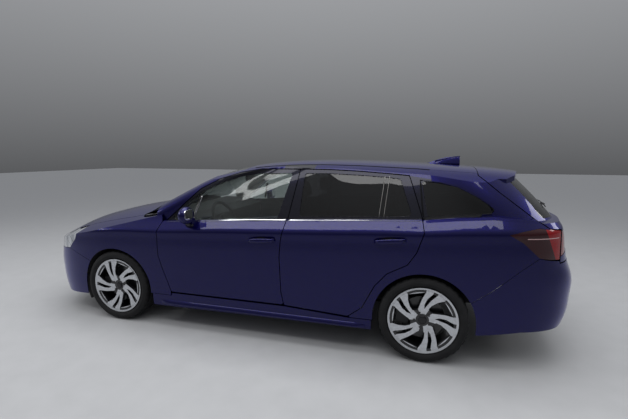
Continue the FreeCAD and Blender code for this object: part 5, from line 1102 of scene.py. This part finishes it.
SEAT_Y = 0.370
REAR_SEAT_Y = 0.3916
REAR_CHANNELS = (("across", 0.200, -0.30, 0.30), ("along", -0.080, 0.20, 0.56), ("along", 0.060, 0.20, 0.56))
PADS = (
    ("seat_cushion_left", lying(-0.415, 0.015, 0.345, 0.465, 0.232, 0.018, 0.012, -SEAT_Y), 0.338, 0.014, (
        ("across", 0.150, -0.30, 0.30), ("along", -0.100, 0.0, 0.150), ("along", 0.020, 0.0, 0.150),
    ), "front_seats", (("seat_cushion_right", 2 * SEAT_Y),)),
    ("seat_backrest_left", leaning((0.062, 0.470), (0.226, 1.092), 0.228, 0.052, 0.24, 0.020, -SEAT_Y), None, 0.014, (
        ("across", 0.140, -0.30, 0.26), ("along", -0.140, 0.0, 0.140), ("along", -0.020, 0.0, 0.140),
        ("along", 0.100, 0.0, 0.140), ("along", 0.210, 0.0, 0.160),
    ), None, (("seat_backrest_right", 2 * SEAT_Y),)),
    ("seat_headrest_left", leaning((0.240, 1.128), (0.224, 1.262), 0.112, 0.034, 0.10, 0.004, -SEAT_Y), None, 0.014, (
        ("along", -0.040, 0.0, 0.20),
    ), None, (("seat_headrest_right", 2 * SEAT_Y),)),
    ("rear_cushion", lying(0.428, 0.868, 0.425, 0.550, 0.600, 0.006, 0.008, 0.0), 0.415, 0.012, REAR_CHANNELS,
     "rear_seat", ()),
    ("rear_backrest", leaning((0.928, 0.600), (1.022, 1.030), 0.600, 0.038, 0.03, 0.004, 0.0), None, 0.012,
     REAR_CHANNELS, None, ()),
    ("rear_headrest", leaning((1.026, 1.052), (1.036, 1.146), 0.110, 0.026, 0.06, 0.002, -REAR_SEAT_Y), None, 0.012, (
        ("along", -0.028, 0.0, 0.20),
    ), None, (("rear_headrest_middle", REAR_SEAT_Y), ("rear_headrest_right", 2 * REAR_SEAT_Y))),
)
for name, (point_of, place_of), rest_z, cap, channels, node, copies in PADS:
    piece = add_piece(name, soft_form(name, point_of), CLOTH, "body")
    puff(piece, rest_z, cap)
    sew(piece, place_of, channels)
    finish_pad(piece)
    for copy_name, shift in copies:
        copy_across(piece, copy_name, shift)
    if node:
        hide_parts(node)

# Plastic shells under the front seats and the posts of the headrests.

for side, sign in SIDES:
    rings = []
    for z, grow in ((0.232, -0.020), (0.240, 0.0), (0.300, -0.006), (0.345, -0.022)):
        rings.append([
            Vector((
                -0.200 + (0.205 + grow) * squared(math.cos(angle), 0.4),
                sign * SEAT_Y + (0.225 + grow) * squared(math.sin(angle), 0.4), z,
            ))
            for angle in around(32)
        ])
    add_piece(f"seat_shell_{side}", tube_along(f"seat_shell_{side}", rings), CABIN_PLASTIC, "body")
POST_RADIUS = 0.006
POSTS = [(sign * SEAT_Y + shift, 0.2400, 1.060, 1.150) for _, sign in SIDES for shift in (-0.055, 0.055)]
for middle in (-REAR_SEAT_Y, 0.0, REAR_SEAT_Y):
    POSTS += [(middle + shift, 1.0300, 1.000, 1.080) for shift in (-0.045, 0.045)]
for number, (y, x, low, high) in enumerate(POSTS):
    rings = [
        [Vector((x + POST_RADIUS * math.cos(angle), y + POST_RADIUS * math.sin(angle), z)) for angle in around(12)]
        for z in steps(low, high, 3)
    ]
    add_piece(f"headrest_post_{number}", tube_along(f"headrest_post_{number}", rings), STEEL, "body")

# Stage, camera and light.

mesh = mesh_from("floor", [(-30, -30, 0), (30, -30, 0), (30, 30, 0), (-30, 30, 0)], [(0, 1, 2, 3)])
floor = bpy.data.objects.new("floor", mesh)
bpy.context.scene.collection.objects.link(floor)
mesh.materials.append(plain("pale_floor", (0.42, 0.425, 0.435), 0.6, grain=30.0, vary=0.03))
CAMERA_PLACE = Vector((1.1735, -3.4989, 1.4980))
YAW, PITCH, ROLL = math.radians(-15.34), math.radians(8.43), math.radians(0.155)
forward = Vector((math.sin(YAW) * math.cos(PITCH), math.cos(YAW) * math.cos(PITCH), -math.sin(PITCH)))
right = Vector((math.cos(YAW), -math.sin(YAW), 0))
up = right.cross(forward)
right_rolled = right * math.cos(ROLL) + up * math.sin(ROLL)
up_rolled = up * math.cos(ROLL) - right * math.sin(ROLL)
camera_data = bpy.data.cameras.new("camera")
camera_data.sensor_width = 36.0
camera_data.sensor_fit = "HORIZONTAL"
camera_data.lens = 21.24
camera = bpy.data.objects.new("camera", camera_data)
bpy.context.scene.collection.objects.link(camera)
axes = Matrix((right_rolled, up_rolled, -forward)).transposed().to_4x4()
camera.matrix_world = Matrix.Translation(CAMERA_PLACE) @ axes
bpy.context.scene.camera = camera


def add_light(name, place, target, width, depth, power):
    data = bpy.data.lights.new(name, "AREA")
    data.shape = "RECTANGLE"
    data.size = width
    data.size_y = depth
    data.energy = power
    light = bpy.data.objects.new(name, data)
    bpy.context.scene.collection.objects.link(light)
    direction = Vector(target) - Vector(place)
    light.rotation_euler = direction.to_track_quat("-Z", "Y").to_euler()
    light.location = place


add_light("ceiling_light", (0.2, -0.4, 4.4), (0.2, 0.0, 0.6), 6.5, 2.6, 165)
add_light("left_light", (-0.2, -4.2, 6.0), (0.0, 0.0, 0.6), 9.0, 1.0, 120)
add_light("front_light", (-6.5, -2.0, 3.2), (0.0, 0.0, 0.6), 3.0, 1.6, 60)
add_light("rear_light", (6.8, 1.0, 3.4), (0.0, 0.0, 0.4), 3.0, 1.2, 45)
world = bpy.data.worlds.new("studio")
bpy.context.scene.world = world
world.use_nodes = True
nodes, links = world.node_tree.nodes, world.node_tree.links
coords = nodes.new("ShaderNodeTexCoord")
height = nodes.new("ShaderNodeSeparateXYZ")
links.new(coords.outputs["Generated"], height.inputs["Vector"])
level = nodes.new("ShaderNodeMapRange")
level.inputs["From Min"].default_value = -0.05
level.inputs["From Max"].default_value = 0.75
level.inputs["To Min"].default_value = 0.11
level.inputs["To Max"].default_value = 0.62
links.new(height.outputs["Z"], level.inputs["Value"])
links.new(level.outputs["Result"], nodes["Background"].inputs["Strength"])
nodes["Background"].inputs["Color"].default_value = (0.86, 0.88, 0.92, 1.0)
bpy.context.scene.view_settings.view_transform = "Standard"
